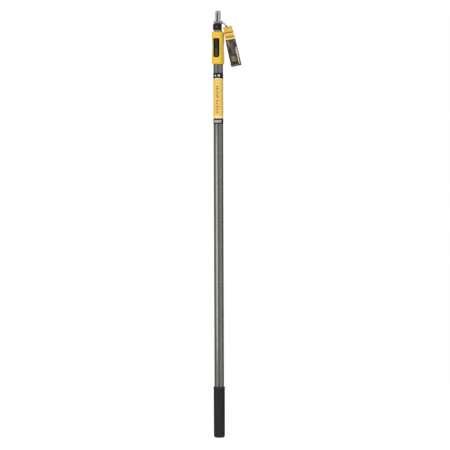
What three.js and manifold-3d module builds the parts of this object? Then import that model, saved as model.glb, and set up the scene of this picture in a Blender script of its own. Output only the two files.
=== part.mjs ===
// Telescopic tool pole with a trigger lock, a quick-release threaded tip and a hang tag.
// Millimetres, +Z up along the pole from the flat butt end. The trigger, the release button and the
// thread's keyway face -Y.
import * as THREE from 'three';
import { mergeVertices } from 'three/addons/utils/BufferGeometryUtils.js';
import Module from 'manifold-3d';

const wasm = await Module();
wasm.setup();

// ---------- driving dimensions ----------
const SEG = 36;                       // facets round every coaxial part, all in the same phase
const OUTER_R = 14.4, OUTER_RI = 12.8, OUTER_Z0 = 3.9, OUTER_Z1 = 1138;
const INNER_R = 12.2, INNER_RI = 10.7, INNER_Z0 = 22, INNER_Z1 = 1222.2;
const GRIP_TOP = 153, GRIP_R = 16.85;
const LABEL_Z0 = 940.5, LABEL_Z1 = 1093.5, LABEL_RI = 14.5, LABEL_R = 15.0;

const HOUSING_Z0 = 1119.6, HOUSING_Z1 = 1216.5, HOUSING_HX = 16.5, HOUSING_FRONT = 20.0, HOUSING_BACK = 18.9;
const HOUSING_RC = 11.5, HOUSING_EDGE = 3.5;
const SCALLOP_DEPTH = 1.5, SCALLOP_CHORD = 46, SCALLOP_Z = 1170;
const SLEEVE_RI = 12.4, SLEEVE_R = 14.0, SLEEVE_Z0 = 1141, SLEEVE_Z1 = 1213;

const WINDOW_HX = 9.3, WINDOW_Z0 = 1139.7, WINDOW_Z1 = 1196.9, WINDOW_RTOP = 2.6, WINDOW_RBOT = 6.4;
const BEZEL_GAP = 0.3, BEZEL_END = 1.1, BEZEL_HX = 4.9;
const PIVOT_Y = -17.0, PIVOT_Z = 1165.8, PIVOT_PIN_R = 1.25;
const LEVER_HX = 4.4;
const LOCK_Z = PIVOT_Z + 19;          // height of the lock pin above the butt
const INDEX_PITCH = 25.4, INDEX_STEPS = 42, INDEX_R = 2.6;
const GROOVE_HX = 3.2, GROOVE_FLOOR = 11.25;

const THREAD_MAJOR = 9.4, THREAD_MINOR = 6.7, THREAD_PITCH = 5.08;
const TIP_TOP = 1280.4, CROWN_Z0 = 1244.2, CROWN_BASE = 1245.9, CROWN_Z1 = 1249.5, CROWN_R = 14.5;
const NECK_R = 10.0, SHANK_R = 10.4, SHANK_Z0 = 1196;
const SLOT_HX = 1.5, SLOT_FLOOR = 4.6, SLOT_TOP = 1274;
const COLLAR_Z0 = 1222.5, COLLAR_Z1 = 1240.5, COLLAR_R = 13.25;
const COLLAR_CX = -1.75, COLLAR_CY = -1.5;   // the collar is eccentric: thicker on the side that carries the release button
const BUTTON_Z = 1231.5, BUTTON_R = 3.55;

const VIEW_TURN = THREE.MathUtils.degToRad(16.5);  // the hang tag's face is turned this far from -Y
const TAG_W = 31, TAG_L = 122, TAG_T = 1.0, TAG_TILT = THREE.MathUtils.degToRad(12.8);
const TAG_U = 41.28, TAG_N = 11.5, TAG_Z = 1172.93, TAG_HOLE_IN = 3.8, TAG_HOLE_OFF = -1.6, TAG_HOLE_R = 2.4, TAG_CORNER = 3;
const CROWN_TEETH = 3, CROWN_TURN = THREE.MathUtils.degToRad(16.5 + 180);  // one tooth is opposite the tag's face side
const CORD_R = 0.8;

// ---------- helpers ----------
function tidy(geometry) {
  let g = geometry.clone();
  g.deleteAttribute('normal');
  g.deleteAttribute('uv');
  g = mergeVertices(g, 1e-4);
  const idx = g.index.array, keep = [];
  for (let i = 0; i < idx.length; i += 3) {
    const a = idx[i], b = idx[i + 1], c = idx[i + 2];
    if (a !== b && b !== c && a !== c) keep.push(a, b, c);
  }
  const p = g.attributes.position;
  let vol = 0;
  const A = new THREE.Vector3(), B = new THREE.Vector3(), C = new THREE.Vector3();
  for (let i = 0; i < keep.length; i += 3) {
    A.fromBufferAttribute(p, keep[i]); B.fromBufferAttribute(p, keep[i + 1]); C.fromBufferAttribute(p, keep[i + 2]);
    vol += A.dot(B.cross(C));
  }
  if (vol < 0) for (let i = 0; i < keep.length; i += 3) [keep[i + 1], keep[i + 2]] = [keep[i + 2], keep[i + 1]];
  g.setIndex(keep);
  return g;
}
function solid(geometry) {
  const g = tidy(geometry);
  return new wasm.Manifold(new wasm.Mesh({
    numProp: 3,
    vertProperties: new Float32Array(g.attributes.position.array),
    triVerts: new Uint32Array(g.index.array),
  }));
}
function geometryOf(manifold) {
  const m = manifold.getMesh();
  const g = new THREE.BufferGeometry();
  g.setAttribute('position', new THREE.BufferAttribute(new Float32Array(m.vertProperties), 3));
  g.setIndex(new THREE.BufferAttribute(new Uint32Array(m.triVerts), 1));
  g.computeVertexNormals();
  return g;
}
// a turned body about Z from [radius, height] pairs
function turned(profile, seg = SEG) {
  return new THREE.LatheGeometry(profile.map(([r, z]) => new THREE.Vector2(r, z)), seg).rotateX(Math.PI / 2);
}
function ringBody(ri, ro, z0, z1, seg = SEG) {
  return turned([[ri, z0], [ro, z0], [ro, z1], [ri, z1], [ri, z0]], seg);
}
function disc(r, z0, z1, seg = SEG) {
  return turned([[0, z0], [r, z0], [r, z1], [0, z1]], seg);
}
// a round bar along Y from y0 to y1
function barY(r, y0, y1, x, z, seg = 16) {
  return new THREE.CylinderGeometry(r, r, y1 - y0, seg).translate(x, (y0 + y1) / 2, z);
}
function barX(r, x0, x1, y, z, seg = 16) {
  return new THREE.CylinderGeometry(r, r, x1 - x0, seg).rotateZ(Math.PI / 2).translate((x0 + x1) / 2, y, z);
}
function block(x0, x1, y0, y1, z0, z1) {
  return new THREE.BoxGeometry(x1 - x0, y1 - y0, z1 - z0).translate((x0 + x1) / 2, (y0 + y1) / 2, (z0 + z1) / 2);
}
// a bar along a horizontal direction (angle from +Y towards -X), between two distances from the pole's axis
function radial(geometryAlongY, angle) {
  return geometryAlongY.rotateZ(angle);
}
// outline with round corners: half width hx, from y0 to y1
function roundedOutline(hx, y0, y1, r, steps = 6) {
  const s = new THREE.Shape(), pts = [];
  const corner = (cx, cy, a0) => {
    for (let i = 0; i <= steps; i++) {
      const a = a0 + (i / steps) * Math.PI / 2;
      pts.push(new THREE.Vector2(cx + r * Math.cos(a), cy + r * Math.sin(a)));
    }
  };
  corner(hx - r, y0 + r, -Math.PI / 2);
  corner(hx - r, y1 - r, 0);
  corner(-hx + r, y1 - r, Math.PI / 2);
  corner(-hx + r, y0 + r, Math.PI);
  s.setFromPoints(pts);
  return s;
}
// outline of the trigger window in X and Z: small round corners above, larger ones below
function windowOutline(hx, z0, z1, rTop, rBot, steps = 5) {
  const pts = [];
  const corner = (cx, cz, r, a0) => {
    for (let i = 0; i <= steps; i++) {
      const a = a0 + (i / steps) * Math.PI / 2;
      pts.push(new THREE.Vector2(cx + r * Math.cos(a), cz + r * Math.sin(a)));
    }
  };
  corner(hx - rBot, z0 + rBot, rBot, -Math.PI / 2);
  corner(hx - rTop, z1 - rTop, rTop, 0);
  corner(-hx + rTop, z1 - rTop, rTop, Math.PI / 2);
  corner(-hx + rBot, z0 + rBot, rBot, Math.PI);
  return new THREE.Shape(pts);
}
// an outline drawn in X and Z, given depth along Y from y0 to y1
function slabY(shape, y0, y1) {
  return new THREE.ExtrudeGeometry(shape, { depth: y1 - y0, bevelEnabled: false, curveSegments: 6 })
    .rotateX(Math.PI / 2).translate(0, y1, 0);
}
// an outline drawn in Y and Z, given width along X
function slabX(points, x0, x1) {
  const g = new THREE.ExtrudeGeometry(new THREE.Shape(points.map(([y, z]) => new THREE.Vector2(y, z))), {
    depth: x1 - x0, bevelEnabled: false,
  });
  // shape x -> Y, shape y -> Z, depth -> X
  g.applyMatrix4(new THREE.Matrix4().set(0, 0, 1, x0, 1, 0, 0, 0, 0, 1, 0, 0, 0, 0, 0, 1));
  return g;
}
// a round wire or cord along a curve
function wire(curve, r, sides, steps) {
  const pts = [];
  for (let i = 0; i < sides; i++) {
    const a = (i / sides) * Math.PI * 2;
    pts.push(new THREE.Vector2(r * Math.cos(a), r * Math.sin(a)));
  }
  return new THREE.ExtrudeGeometry(new THREE.Shape(pts), { steps, extrudePath: curve, bevelEnabled: false });
}
class Helix extends THREE.Curve {
  constructor(radius, length, turns) { super(); this.radius = radius; this.length = length; this.turns = turns; }
  getPoint(t, target = new THREE.Vector3()) {
    const a = t * this.turns * Math.PI * 2;
    return target.set(this.radius * Math.cos(a), t * this.length, this.radius * Math.sin(a));
  }
}

// ---------- finishes ----------
const finish = (color, roughness, metalness) => new THREE.MeshStandardMaterial({ color, roughness, metalness });
const GREY_TUBE = finish(0x73716d, 0.35, 0.8);
const BARE_METAL = finish(0xb2ad9f, 0.35, 0.9);
const CAST = finish(0x9a9b98, 0.45, 0.8);
const STEEL = finish(0x8f9090, 0.3, 0.95);
const RUBBER = finish(0x2c2c2c, 0.75, 0.0);
const BLACK = finish(0x151515, 0.5, 0.0);
const DARK_GREY = finish(0x3a3a3a, 0.5, 0.0);
const NYLON = finish(0xd8d4c8, 0.6, 0.0);
const YELLOW = finish(0xf1c74f, 0.4, 0.0);
const LABEL = finish(0xf1d27a, 0.35, 0.0);
const CARD = finish(0x63524a, 0.45, 0.0);
const CORD = finish(0x1d1a18, 0.8, 0.0);

const pole = new THREE.Group();
const outerPole = new THREE.Group(), innerPole = new THREE.Group(), tagGroup = new THREE.Group();
pole.add(outerPole, innerPole, tagGroup);
function put(group, name, geometry, material) {
  const m = new THREE.Mesh(geometry, material);
  m.name = name;
  group.add(m);
  return m;
}

// ---------- outer pole ----------
const RIVET_Z = 1129.5, RIVET_TURN = THREE.MathUtils.degToRad(42);
{
  let tube = solid(ringBody(OUTER_RI, OUTER_R, OUTER_Z0, OUTER_Z1));
  for (const a of [RIVET_TURN, -RIVET_TURN])
    tube = tube.subtract(solid(radial(barY(1.9, 10, 20, 0, RIVET_Z, 12), a)));
  put(outerPole, 'outer_tube', geometryOf(tube), GREY_TUBE);
}
put(outerPole, 'tube_end_plug', tidy(turned([[0, 4.3], [12.1, 4.3], [12.6, 5], [12.6, 10.4], [12.1, 11], [0, 11]])), BLACK);
{
  const arc = [];
  for (let i = 0; i <= 5; i++) {
    const a = -Math.PI / 2 + (i / 5) * Math.PI / 2;
    arc.push([9.6 + 7 * Math.cos(a), 7 + 7 * Math.sin(a)]);
  }
  put(outerPole, 'hand_grip', tidy(turned([
    [0, 0], ...arc, [16.6, 11.6], [15.9, 12.3], [15.9, 13.7], [16.6, 14.4], [GRIP_R, 147.2],
    [17.25, 148.2], [17.25, 152], [16.6, GRIP_TOP], [14.6, GRIP_TOP], [14.6, 3.5], [0, 3.5],
  ])), RUBBER);
}
put(outerPole, 'label_sleeve', tidy(ringBody(LABEL_RI, LABEL_R, LABEL_Z0, LABEL_Z1)), LABEL);

// ---------- lock housing ----------
function housingEnvelope(grow = 0) {
  const e = HOUSING_EDGE;
  const shape = roundedOutline(HOUSING_HX - e + grow, -HOUSING_FRONT + e - grow, HOUSING_BACK - e + grow, HOUSING_RC - e + grow);
  const g = new THREE.ExtrudeGeometry(shape, {
    depth: HOUSING_Z1 - HOUSING_Z0 - 2 * e, bevelEnabled: true, bevelThickness: e, bevelSize: e, bevelSegments: 3, curveSegments: 6,
  }).translate(0, 0, HOUSING_Z0 + e);
  return solid(g);
}
const windowSlab = (inset, y0, y1) => solid(slabY(
  windowOutline(WINDOW_HX - inset, WINDOW_Z0 + inset, WINDOW_Z1 - inset, Math.max(0.6, WINDOW_RTOP - inset), WINDOW_RBOT - inset),
  y0, y1));
{
  let body = housingEnvelope();
  const scallopR = ((SCALLOP_CHORD / 2) ** 2 + SCALLOP_DEPTH ** 2) / (2 * SCALLOP_DEPTH);
  for (const side of [-1, 1]) {
    const c = new THREE.CylinderGeometry(scallopR, scallopR, 60, 120).translate(side * (HOUSING_HX - SCALLOP_DEPTH + scallopR), 0, SCALLOP_Z);
    body = body.subtract(solid(c));
  }
  body = body.subtract(solid(disc(OUTER_R + 0.1, HOUSING_Z0 - 1, OUTER_Z1 + 0.4)));
  body = body.subtract(solid(disc(SLEEVE_R + 0.1, OUTER_Z1 + 0.2, SLEEVE_Z1 + 0.4)));
  body = body.subtract(solid(disc(INNER_R + 0.3, SLEEVE_Z1, HOUSING_Z1 + 1)));
  body = body.subtract(windowSlab(0, -30, -9));
  for (const a of [RIVET_TURN, -RIVET_TURN]) {
    body = body.subtract(solid(radial(barY(1.9, 10, 30, 0, RIVET_Z, 12), a)));
    body = body.subtract(solid(radial(barY(3.7, 17.2, 30, 0, RIVET_Z, 16), a)));
  }
  body = body.subtract(solid(barY(1.6, 10, 30, 0, 1206, 12)));
  body = body.subtract(solid(barY(3.2, 16.8, 30, 0, 1206, 16)));
  put(outerPole, 'lock_housing', geometryOf(body), YELLOW);
}
// blind rivets: domed head in its recess, shank through the housing and the tube wall
const rivetProfile = (headR, shankR, floor, end, dome) => turned([
  [0, end], [shankR, end], [shankR, floor], [headR, floor], [headR, floor + 0.5], [headR * 0.7, floor + dome * 0.85], [0, floor + dome],
], 16).rotateX(-Math.PI / 2);
[['housing_rivet_1', RIVET_TURN], ['housing_rivet_2', -RIVET_TURN]].forEach(([name, a]) => {
  const m = put(outerPole, name, tidy(rivetProfile(3.3, 1.55, 17.5, 12.95, 1.3)), STEEL);
  m.position.z = RIVET_Z;
  m.rotation.z = a;
});
{
  const m = put(outerPole, 'sleeve_screw', tidy(rivetProfile(2.8, 1.25, 17.1, 13.0, 1.2)), STEEL);
  m.position.z = 1206;
}
{
  let sleeve = solid(ringBody(SLEEVE_RI, SLEEVE_R, SLEEVE_Z0, SLEEVE_Z1));
  sleeve = sleeve.subtract(solid(barY(2.7, -16, -8, 0, LOCK_Z, 16)));
  sleeve = sleeve.subtract(solid(barY(1.55, 10, 16, 0, 1206, 12)));
  put(outerPole, 'guide_sleeve', geometryOf(sleeve), NYLON);
}

// ---------- trigger ----------
{
  let bezel = windowSlab(BEZEL_GAP, -30, -14.7).subtract(solid(slabY(
    windowOutline(BEZEL_HX, WINDOW_Z0 + BEZEL_GAP + BEZEL_END, WINDOW_Z1 - BEZEL_GAP - BEZEL_END, 1.6, 4.0), -31, -10)));
  bezel = bezel.intersect(housingEnvelope(-0.5));
  bezel = bezel.subtract(solid(barX(PIVOT_PIN_R + 0.15, -12, 12, PIVOT_Y, PIVOT_Z)));
  put(outerPole, 'trigger_bezel', geometryOf(bezel), BLACK);
}
put(outerPole, 'trigger_pin', tidy(barX(PIVOT_PIN_R, -8.2, 8.2, PIVOT_Y, PIVOT_Z)), STEEL);
{
  // side view of the rocker, in Y and in height above the pivot: the two outer facets meet at the pivot
  const P = PIVOT_Z;
  let lever = solid(slabX([
    [-19.0, P + 2], [-20.25, P + 29.2], [-18.2, P + 29.2], [-17.0, P + 2.0], [-16.9, P - 2.0], [-18.3, P - 18],
    [-18.9, P - 24.2], [-20.75, P - 24.2], [-19.1, P - 2],
  ], -LEVER_HX, LEVER_HX));
  // side cheeks behind the face, shallower towards the lower end so that they clear the guide sleeve
  for (const s of [-1, 1]) {
    const x0 = s < 0 ? -LEVER_HX : LEVER_HX - 1.1;
    lever = lever.add(solid(slabX([
      [-18.8, P + 28.4], [-15.2, P + 26.5], [-15.1, P + 2.0], [-15.3, P - 3.0], [-17.2, P - 21.5], [-19.0, P - 23.6], [-18.2, P],
    ], x0, x0 + 1.1)));
  }
  lever = lever.add(solid(barX(2.45, -LEVER_HX, LEVER_HX, PIVOT_Y, P, 20)));
  // web behind the face that draws the lock pin's head outwards
  lever = lever.add(solid(block(-LEVER_HX + 0.5, LEVER_HX - 0.5, -16.1, -15.15, LOCK_Z - 5.2, LOCK_Z + 5.2)));
  lever = lever.subtract(solid(barY(1.9, -16.4, -14, 0, LOCK_Z, 16)));
  lever = lever.subtract(solid(barX(PIVOT_PIN_R + 0.2, -12, 12, PIVOT_Y, P)));
  // outline of the face with the bezel's corner radii
  lever = lever.intersect(solid(slabY(windowOutline(LEVER_HX, P - 24.0, P + 29.0, 1.3, 3.5), -30, -10)));
  put(outerPole, 'trigger_lever', geometryOf(lever), DARK_GREY);
}
{
  const m = put(outerPole, 'trigger_spring', tidy(wire(new Helix(2.1, 2.7, 2.75), 0.3, 5, 24)), STEEL);
  m.position.set(0, -17.55, PIVOT_Z - 16);
}
{
  let pin = solid(barY(1.3, -17.0, -14.0, 0, LOCK_Z)).add(solid(barY(2.3, -17.25, -16.5, 0, LOCK_Z)));
  pin = pin.add(solid(barY(2.35, -14.6, -12.1, 0, LOCK_Z)));
  pin = pin.add(solid(new THREE.CylinderGeometry(2.35, 1.9, 0.5, 16).rotateX(Math.PI).translate(0, -11.9, LOCK_Z)));
  put(outerPole, 'lock_pin', geometryOf(pin), STEEL);
}

// ---------- inner pole ----------
const TIP_RIVET_Z = 1206;
{
  let tube = solid(ringBody(INNER_RI, INNER_R, INNER_Z0, INNER_Z1));
  tube = tube.subtract(solid(block(-GROOVE_HX, GROOVE_HX, -20, -GROOVE_FLOOR, INNER_Z0 - 1, 1216)));
  for (let k = 0; k <= INDEX_STEPS; k++)
    tube = tube.subtract(solid(barY(INDEX_R, -14, -8, 0, LOCK_Z - k * INDEX_PITCH, 8)));
  for (const s of [-1, 1]) tube = tube.subtract(solid(s < 0 ? barX(1.4, -14, -8, 0, TIP_RIVET_Z, 12) : barX(1.4, 8, 14, 0, TIP_RIVET_Z, 12)));
  put(innerPole, 'inner_tube', geometryOf(tube), BARE_METAL);
}
put(innerPole, 'inner_end_glide', tidy(turned([
  [0, 12], [12.0, 12], [12.65, 13], [12.65, 21], [12.3, 21.7], [10.4, 21.7], [10.4, 39], [9.8, 40], [0, 40],
])), BLACK);
{
  // thread: a turned blank whose radius follows the screw line
  const z0 = CROWN_BASE + 1.2, z1 = TIP_TOP - 1.6, rings = 34, seg = 20;
  const profile = [[0, z0 - 1.6], [THREAD_MINOR, z0 - 1.6]];
  for (let i = 0; i <= rings; i++) profile.push([THREAD_MINOR, z0 + (i / rings) * (z1 - z0)]);
  profile.push([THREAD_MINOR - 0.4, TIP_TOP], [0, TIP_TOP]);
  const g = turned(profile, seg);
  const p = g.attributes.position;
  for (let i = 0; i < p.count; i++) {
    const x = p.getX(i), y = p.getY(i), z = p.getZ(i), r = Math.hypot(x, y);
    if (z < z0 - 0.01 || z > z1 + 0.01 || r < 1) continue;
    const turn = (Math.atan2(x, -y) / (Math.PI * 2) + 1) % 1;
    let f = ((z - z0) / THREAD_PITCH - turn) % 1;
    if (f < 0) f += 1;
    const d = Math.abs(f - 0.5) * 2;                      // 0 on the crest, 1 in the root
    const flank = THREE.MathUtils.clamp((0.72 - d) / 0.34, 0, 1);
    const fade = Math.min(1, (z - z0) / 1.0, (z1 - z) / 1.4);
    const R = THREAD_MINOR + (THREAD_MAJOR - THREAD_MINOR) * flank * Math.max(0, fade);
    p.setXYZ(i, (x / r) * R, (y / r) * R, z);
  }
  let tip = solid(g);
  tip = tip.add(solid(turned([
    [0, SHANK_Z0], [SHANK_R - 0.6, SHANK_Z0], [SHANK_R, SHANK_Z0 + 0.8], [SHANK_R, 1222], [NECK_R, 1222.4], [NECK_R, CROWN_Z0],
    [CROWN_R - 0.4, CROWN_Z0], [CROWN_R, CROWN_Z0 + 0.4], [CROWN_R, CROWN_Z1], [10.9, CROWN_Z1], [10.6, CROWN_BASE], [0, CROWN_BASE],
  ])));
  // V-shaped gaps between the crown's teeth
  for (let k = 0; k < CROWN_TEETH; k++) {
    const top = CROWN_Z1 - CROWN_BASE + 1;
    const wedge = (z, half) => {
      const pts = [];
      for (let i = 0; i <= 10; i++) {
        const a = THREE.MathUtils.degToRad(-half + (2 * half * i) / 10);
        pts.push([Math.sin(a), -Math.cos(a), z]);
      }
      return pts;
    };
    // a closed body between two arcs, wider at the top: inner and outer radius, lower and upper level
    const lo = wedge(CROWN_BASE, 34), hi = wedge(CROWN_BASE + top, 44), pos = [];
    const P = (q, r) => [q[0] * r, q[1] * r, q[2]];
    const quad = (a, b, c, d) => pos.push(...a, ...b, ...c, ...a, ...c, ...d);
    for (let i = 0; i < 10; i++) {
      quad(P(lo[i], 16), P(lo[i + 1], 16), P(hi[i + 1], 16), P(hi[i], 16));
      quad(P(lo[i + 1], 10.2), P(lo[i], 10.2), P(hi[i], 10.2), P(hi[i + 1], 10.2));
      quad(P(hi[i], 16), P(hi[i + 1], 16), P(hi[i + 1], 10.2), P(hi[i], 10.2));
      quad(P(lo[i + 1], 16), P(lo[i], 16), P(lo[i], 10.2), P(lo[i + 1], 10.2));
    }
    quad(P(lo[0], 10.2), P(lo[0], 16), P(hi[0], 16), P(hi[0], 10.2));
    quad(P(lo[10], 16), P(lo[10], 10.2), P(hi[10], 10.2), P(hi[10], 16));
    const v = new THREE.BufferGeometry();
    v.setAttribute('position', new THREE.Float32BufferAttribute(pos, 3));
    v.rotateZ(CROWN_TURN + Math.PI / CROWN_TEETH + (k * 2 * Math.PI) / CROWN_TEETH);
    tip = tip.subtract(solid(v));
  }
  // keyway: open in the thread, a closed channel under the crown, down to the button's pocket
  tip = tip.subtract(solid(block(-SLOT_HX, SLOT_HX, -10.4, -SLOT_FLOOR, CROWN_BASE - 0.5, SLOT_TOP)));
  tip = tip.subtract(solid(block(-SLOT_HX, SLOT_HX, -NECK_R + 0.02, -SLOT_FLOOR, BUTTON_Z, CROWN_Z1 + 1)));
  tip = tip.subtract(solid(block(-SLOT_HX, SLOT_HX, -NECK_R - 2, -SLOT_FLOOR, BUTTON_Z, CROWN_Z0 - 0.6)));
  tip = tip.subtract(solid(barY(5.0, -12, -6.2, 0, BUTTON_Z, 20)));
  for (const s of [-1, 1]) tip = tip.subtract(solid(s < 0 ? barX(1.4, -12, -6.6, 0, TIP_RIVET_Z, 12) : barX(1.4, 6.6, 12, 0, TIP_RIVET_Z, 12)));
  put(innerPole, 'threaded_tip', geometryOf(tip), CAST);
}
[['tip_rivet_1', -1], ['tip_rivet_2', 1]].forEach(([name, s]) => {
  put(innerPole, name, tidy(s < 0 ? barX(1.1, -12.1, -7, 0, TIP_RIVET_Z, 12) : barX(1.1, 7, 12.1, 0, TIP_RIVET_Z, 12)), STEEL);
});
{
  let collar = solid(turned([
    [0, COLLAR_Z0], [COLLAR_R - 0.7, COLLAR_Z0], [COLLAR_R, COLLAR_Z0 + 0.7], [COLLAR_R, COLLAR_Z1 - 0.8], [COLLAR_R - 0.8, COLLAR_Z1], [0, COLLAR_Z1],
  ]).translate(COLLAR_CX, COLLAR_CY, 0));
  collar = collar.subtract(solid(disc(NECK_R + 0.3, COLLAR_Z0 - 1, COLLAR_Z1 + 1)));
  collar = collar.subtract(solid(barY(BUTTON_R + 0.3, -20, -8, 0, BUTTON_Z, 24)));
  collar = collar.subtract(solid(barY(5.0, -12.3, -8, 0, BUTTON_Z, 20)));
  put(innerPole, 'tip_collar', geometryOf(collar), BLACK);
}
{
  // snap ring with a gap at the back
  const s = new THREE.Shape();
  const gap = 0.22;
  s.absarc(0, 0, 11.0, Math.PI / 2 + gap, Math.PI / 2 + Math.PI * 2 - gap, false);
  s.absarc(0, 0, 10.3, Math.PI / 2 + Math.PI * 2 - gap, Math.PI / 2 + gap, true);
  put(innerPole, 'collar_retaining_ring', tidy(new THREE.ExtrudeGeometry(s, { depth: 0.8, bevelEnabled: false, curveSegments: 20 })
    .translate(0, 0, 1240.9)), STEEL);
}
{
  let b = solid(barY(BUTTON_R, -14.7, -12.0, 0, BUTTON_Z, 24)).add(solid(barY(4.65, -12.0, -11.1, 0, BUTTON_Z, 20)));
  b = b.add(solid(new THREE.CylinderGeometry(BUTTON_R, BUTTON_R - 0.5, 0.4, 24).translate(0, -14.9, BUTTON_Z)));
  put(innerPole, 'release_button', geometryOf(b), DARK_GREY);
}
put(innerPole, 'latch_blade', tidy(slabX([
  [-10.8, BUTTON_Z + 1.3], [-8.0, BUTTON_Z + 1.3], [-7.3, BUTTON_Z + 2.3], [-7.0, 1272.2], [-8.2, 1273.4], [-9.1, 1272.4], [-9.3, BUTTON_Z + 4.6], [-10.8, BUTTON_Z + 4.2],
], -1.15, 1.15)), STEEL);
{
  const m = put(innerPole, 'button_spring', tidy(wire(new Helix(1.5, 3.7, 3.2), 0.25, 5, 26)), STEEL);
  m.position.set(0, -10.5, BUTTON_Z - 1.6);
}

// ---------- hang tag and its cord ----------
// u runs across the tag's view, n out of its face, both level
const U = new THREE.Vector3(Math.cos(VIEW_TURN), Math.sin(VIEW_TURN), 0);
const N = new THREE.Vector3(Math.sin(VIEW_TURN), -Math.cos(VIEW_TURN), 0);
const at = (u, n, z) => new THREE.Vector3().addScaledVector(U, u).addScaledVector(N, n).add(new THREE.Vector3(0, 0, z));
{
  const pts = [];
  const hw = TAG_W / 2, hl = TAG_L / 2, r = TAG_CORNER;
  const corner = (cx, cy, a0) => {
    for (let i = 0; i <= 5; i++) {
      const a = a0 + (i / 5) * Math.PI / 2;
      pts.push(new THREE.Vector2(cx + r * Math.cos(a), cy + r * Math.sin(a)));
    }
  };
  corner(hw - r, -hl + r, -Math.PI / 2);
  corner(hw - r, hl - r, 0);
  corner(-hw + r, hl - r, Math.PI / 2);
  corner(-hw + r, -hl + r, Math.PI);
  const shape = new THREE.Shape(pts);
  const hole = new THREE.Path();
  const hp = [];
  for (let i = 0; i < 20; i++) hp.push(new THREE.Vector2(TAG_HOLE_OFF + TAG_HOLE_R * Math.cos(i / 20 * Math.PI * 2), hl - TAG_HOLE_IN + TAG_HOLE_R * Math.sin(i / 20 * Math.PI * 2)));
  hole.setFromPoints(hp);
  shape.holes.push(hole);
  const g = new THREE.ExtrudeGeometry(shape, { depth: TAG_T, bevelEnabled: false, curveSegments: 5 }).translate(0, 0, -TAG_T / 2);
  const m = put(tagGroup, 'hang_tag', tidy(g), CARD);
  // tilt in its own plane, stand it up, turn it to face n
  m.rotation.order = 'ZXY';
  const q = new THREE.Quaternion().setFromAxisAngle(new THREE.Vector3(0, 0, 1), VIEW_TURN)
    .multiply(new THREE.Quaternion().setFromAxisAngle(new THREE.Vector3(1, 0, 0), Math.PI / 2))
    .multiply(new THREE.Quaternion().setFromAxisAngle(new THREE.Vector3(0, 0, 1), TAG_TILT));
  m.quaternion.copy(q);
  m.position.copy(at(TAG_U, TAG_N, TAG_Z));
}
// the cord: from the knot, through the tag's hole, round the neck and back to the knot
const CORD_POINTS = [
  [25.9, 15.3, 1231.1], [26.5, 15.0, 1230.0], [26.95, 14.2, 1229.0], [27.1, 12.9, 1228.45], [27.05, 11.5, 1228.3], [26.8, 10.1, 1228.4],
  [25.9, 8.8, 1229.1], [24.0, 6.9, 1231.5], [21.6, 4.6, 1234.9], [19.2, 2.3, 1238.2], [16.8, 0.1, 1240.8], [14.5, -2.0, 1242.1], [11.9, -4.3, 1242.8],
];
for (let i = 0; i <= 10; i++) {
  const a = THREE.MathUtils.degToRad(-39.7 - i * 22.6);
  CORD_POINTS.push([11.15 * Math.cos(a), 11.15 * Math.sin(a), 1243.0]);
}
CORD_POINTS.push([3.2, 11.95, 1242.95], [6.9, 12.7, 1242.9], [10.2, 13.3, 1243.0], [13.2, 13.7, 1242.9], [16.2, 14.1, 1242.1], [19.0, 14.5, 1240.8], [21.4, 14.9, 1239.1], [23.2, 15.2, 1237.1], [24.2, 15.35, 1235.3]);
const cordCurve = new THREE.CatmullRomCurve3(CORD_POINTS.map(([u, n, z]) => at(u, n, z)), false, 'centripetal');
put(innerPole, 'tag_cord', tidy(wire(cordCurve, CORD_R, 8, 46)), CORD);
{
  const k = new THREE.SphereGeometry(1, 12, 8).scale(1.75, 1.5, 1.35);
  const m = put(innerPole, 'cord_knot', tidy(k), CORD);
  m.position.copy(at(25.0, 15.4, 1233.2));
  m.rotation.set(0, THREE.MathUtils.degToRad(66), VIEW_TURN, 'ZYX');
}

export default pole;
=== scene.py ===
import math

import bmesh
import bpy
import numpy as np
from mathutils import Matrix, Vector

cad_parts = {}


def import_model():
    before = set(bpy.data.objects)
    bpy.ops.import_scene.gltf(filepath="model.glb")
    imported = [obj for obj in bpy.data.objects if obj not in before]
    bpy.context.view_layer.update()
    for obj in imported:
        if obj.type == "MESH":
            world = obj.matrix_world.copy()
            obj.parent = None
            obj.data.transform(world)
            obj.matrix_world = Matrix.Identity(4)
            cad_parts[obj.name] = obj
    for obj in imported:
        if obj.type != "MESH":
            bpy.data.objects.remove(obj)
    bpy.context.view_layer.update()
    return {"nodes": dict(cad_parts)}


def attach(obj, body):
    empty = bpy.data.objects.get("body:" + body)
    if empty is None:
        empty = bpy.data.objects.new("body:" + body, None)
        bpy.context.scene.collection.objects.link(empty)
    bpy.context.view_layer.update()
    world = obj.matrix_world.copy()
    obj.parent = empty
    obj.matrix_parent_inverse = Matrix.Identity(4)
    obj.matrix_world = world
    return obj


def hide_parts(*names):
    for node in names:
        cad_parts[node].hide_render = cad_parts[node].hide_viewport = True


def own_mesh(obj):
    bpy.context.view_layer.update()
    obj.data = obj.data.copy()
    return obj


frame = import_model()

MM = 0.001
COL = bpy.context.scene.collection

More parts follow.
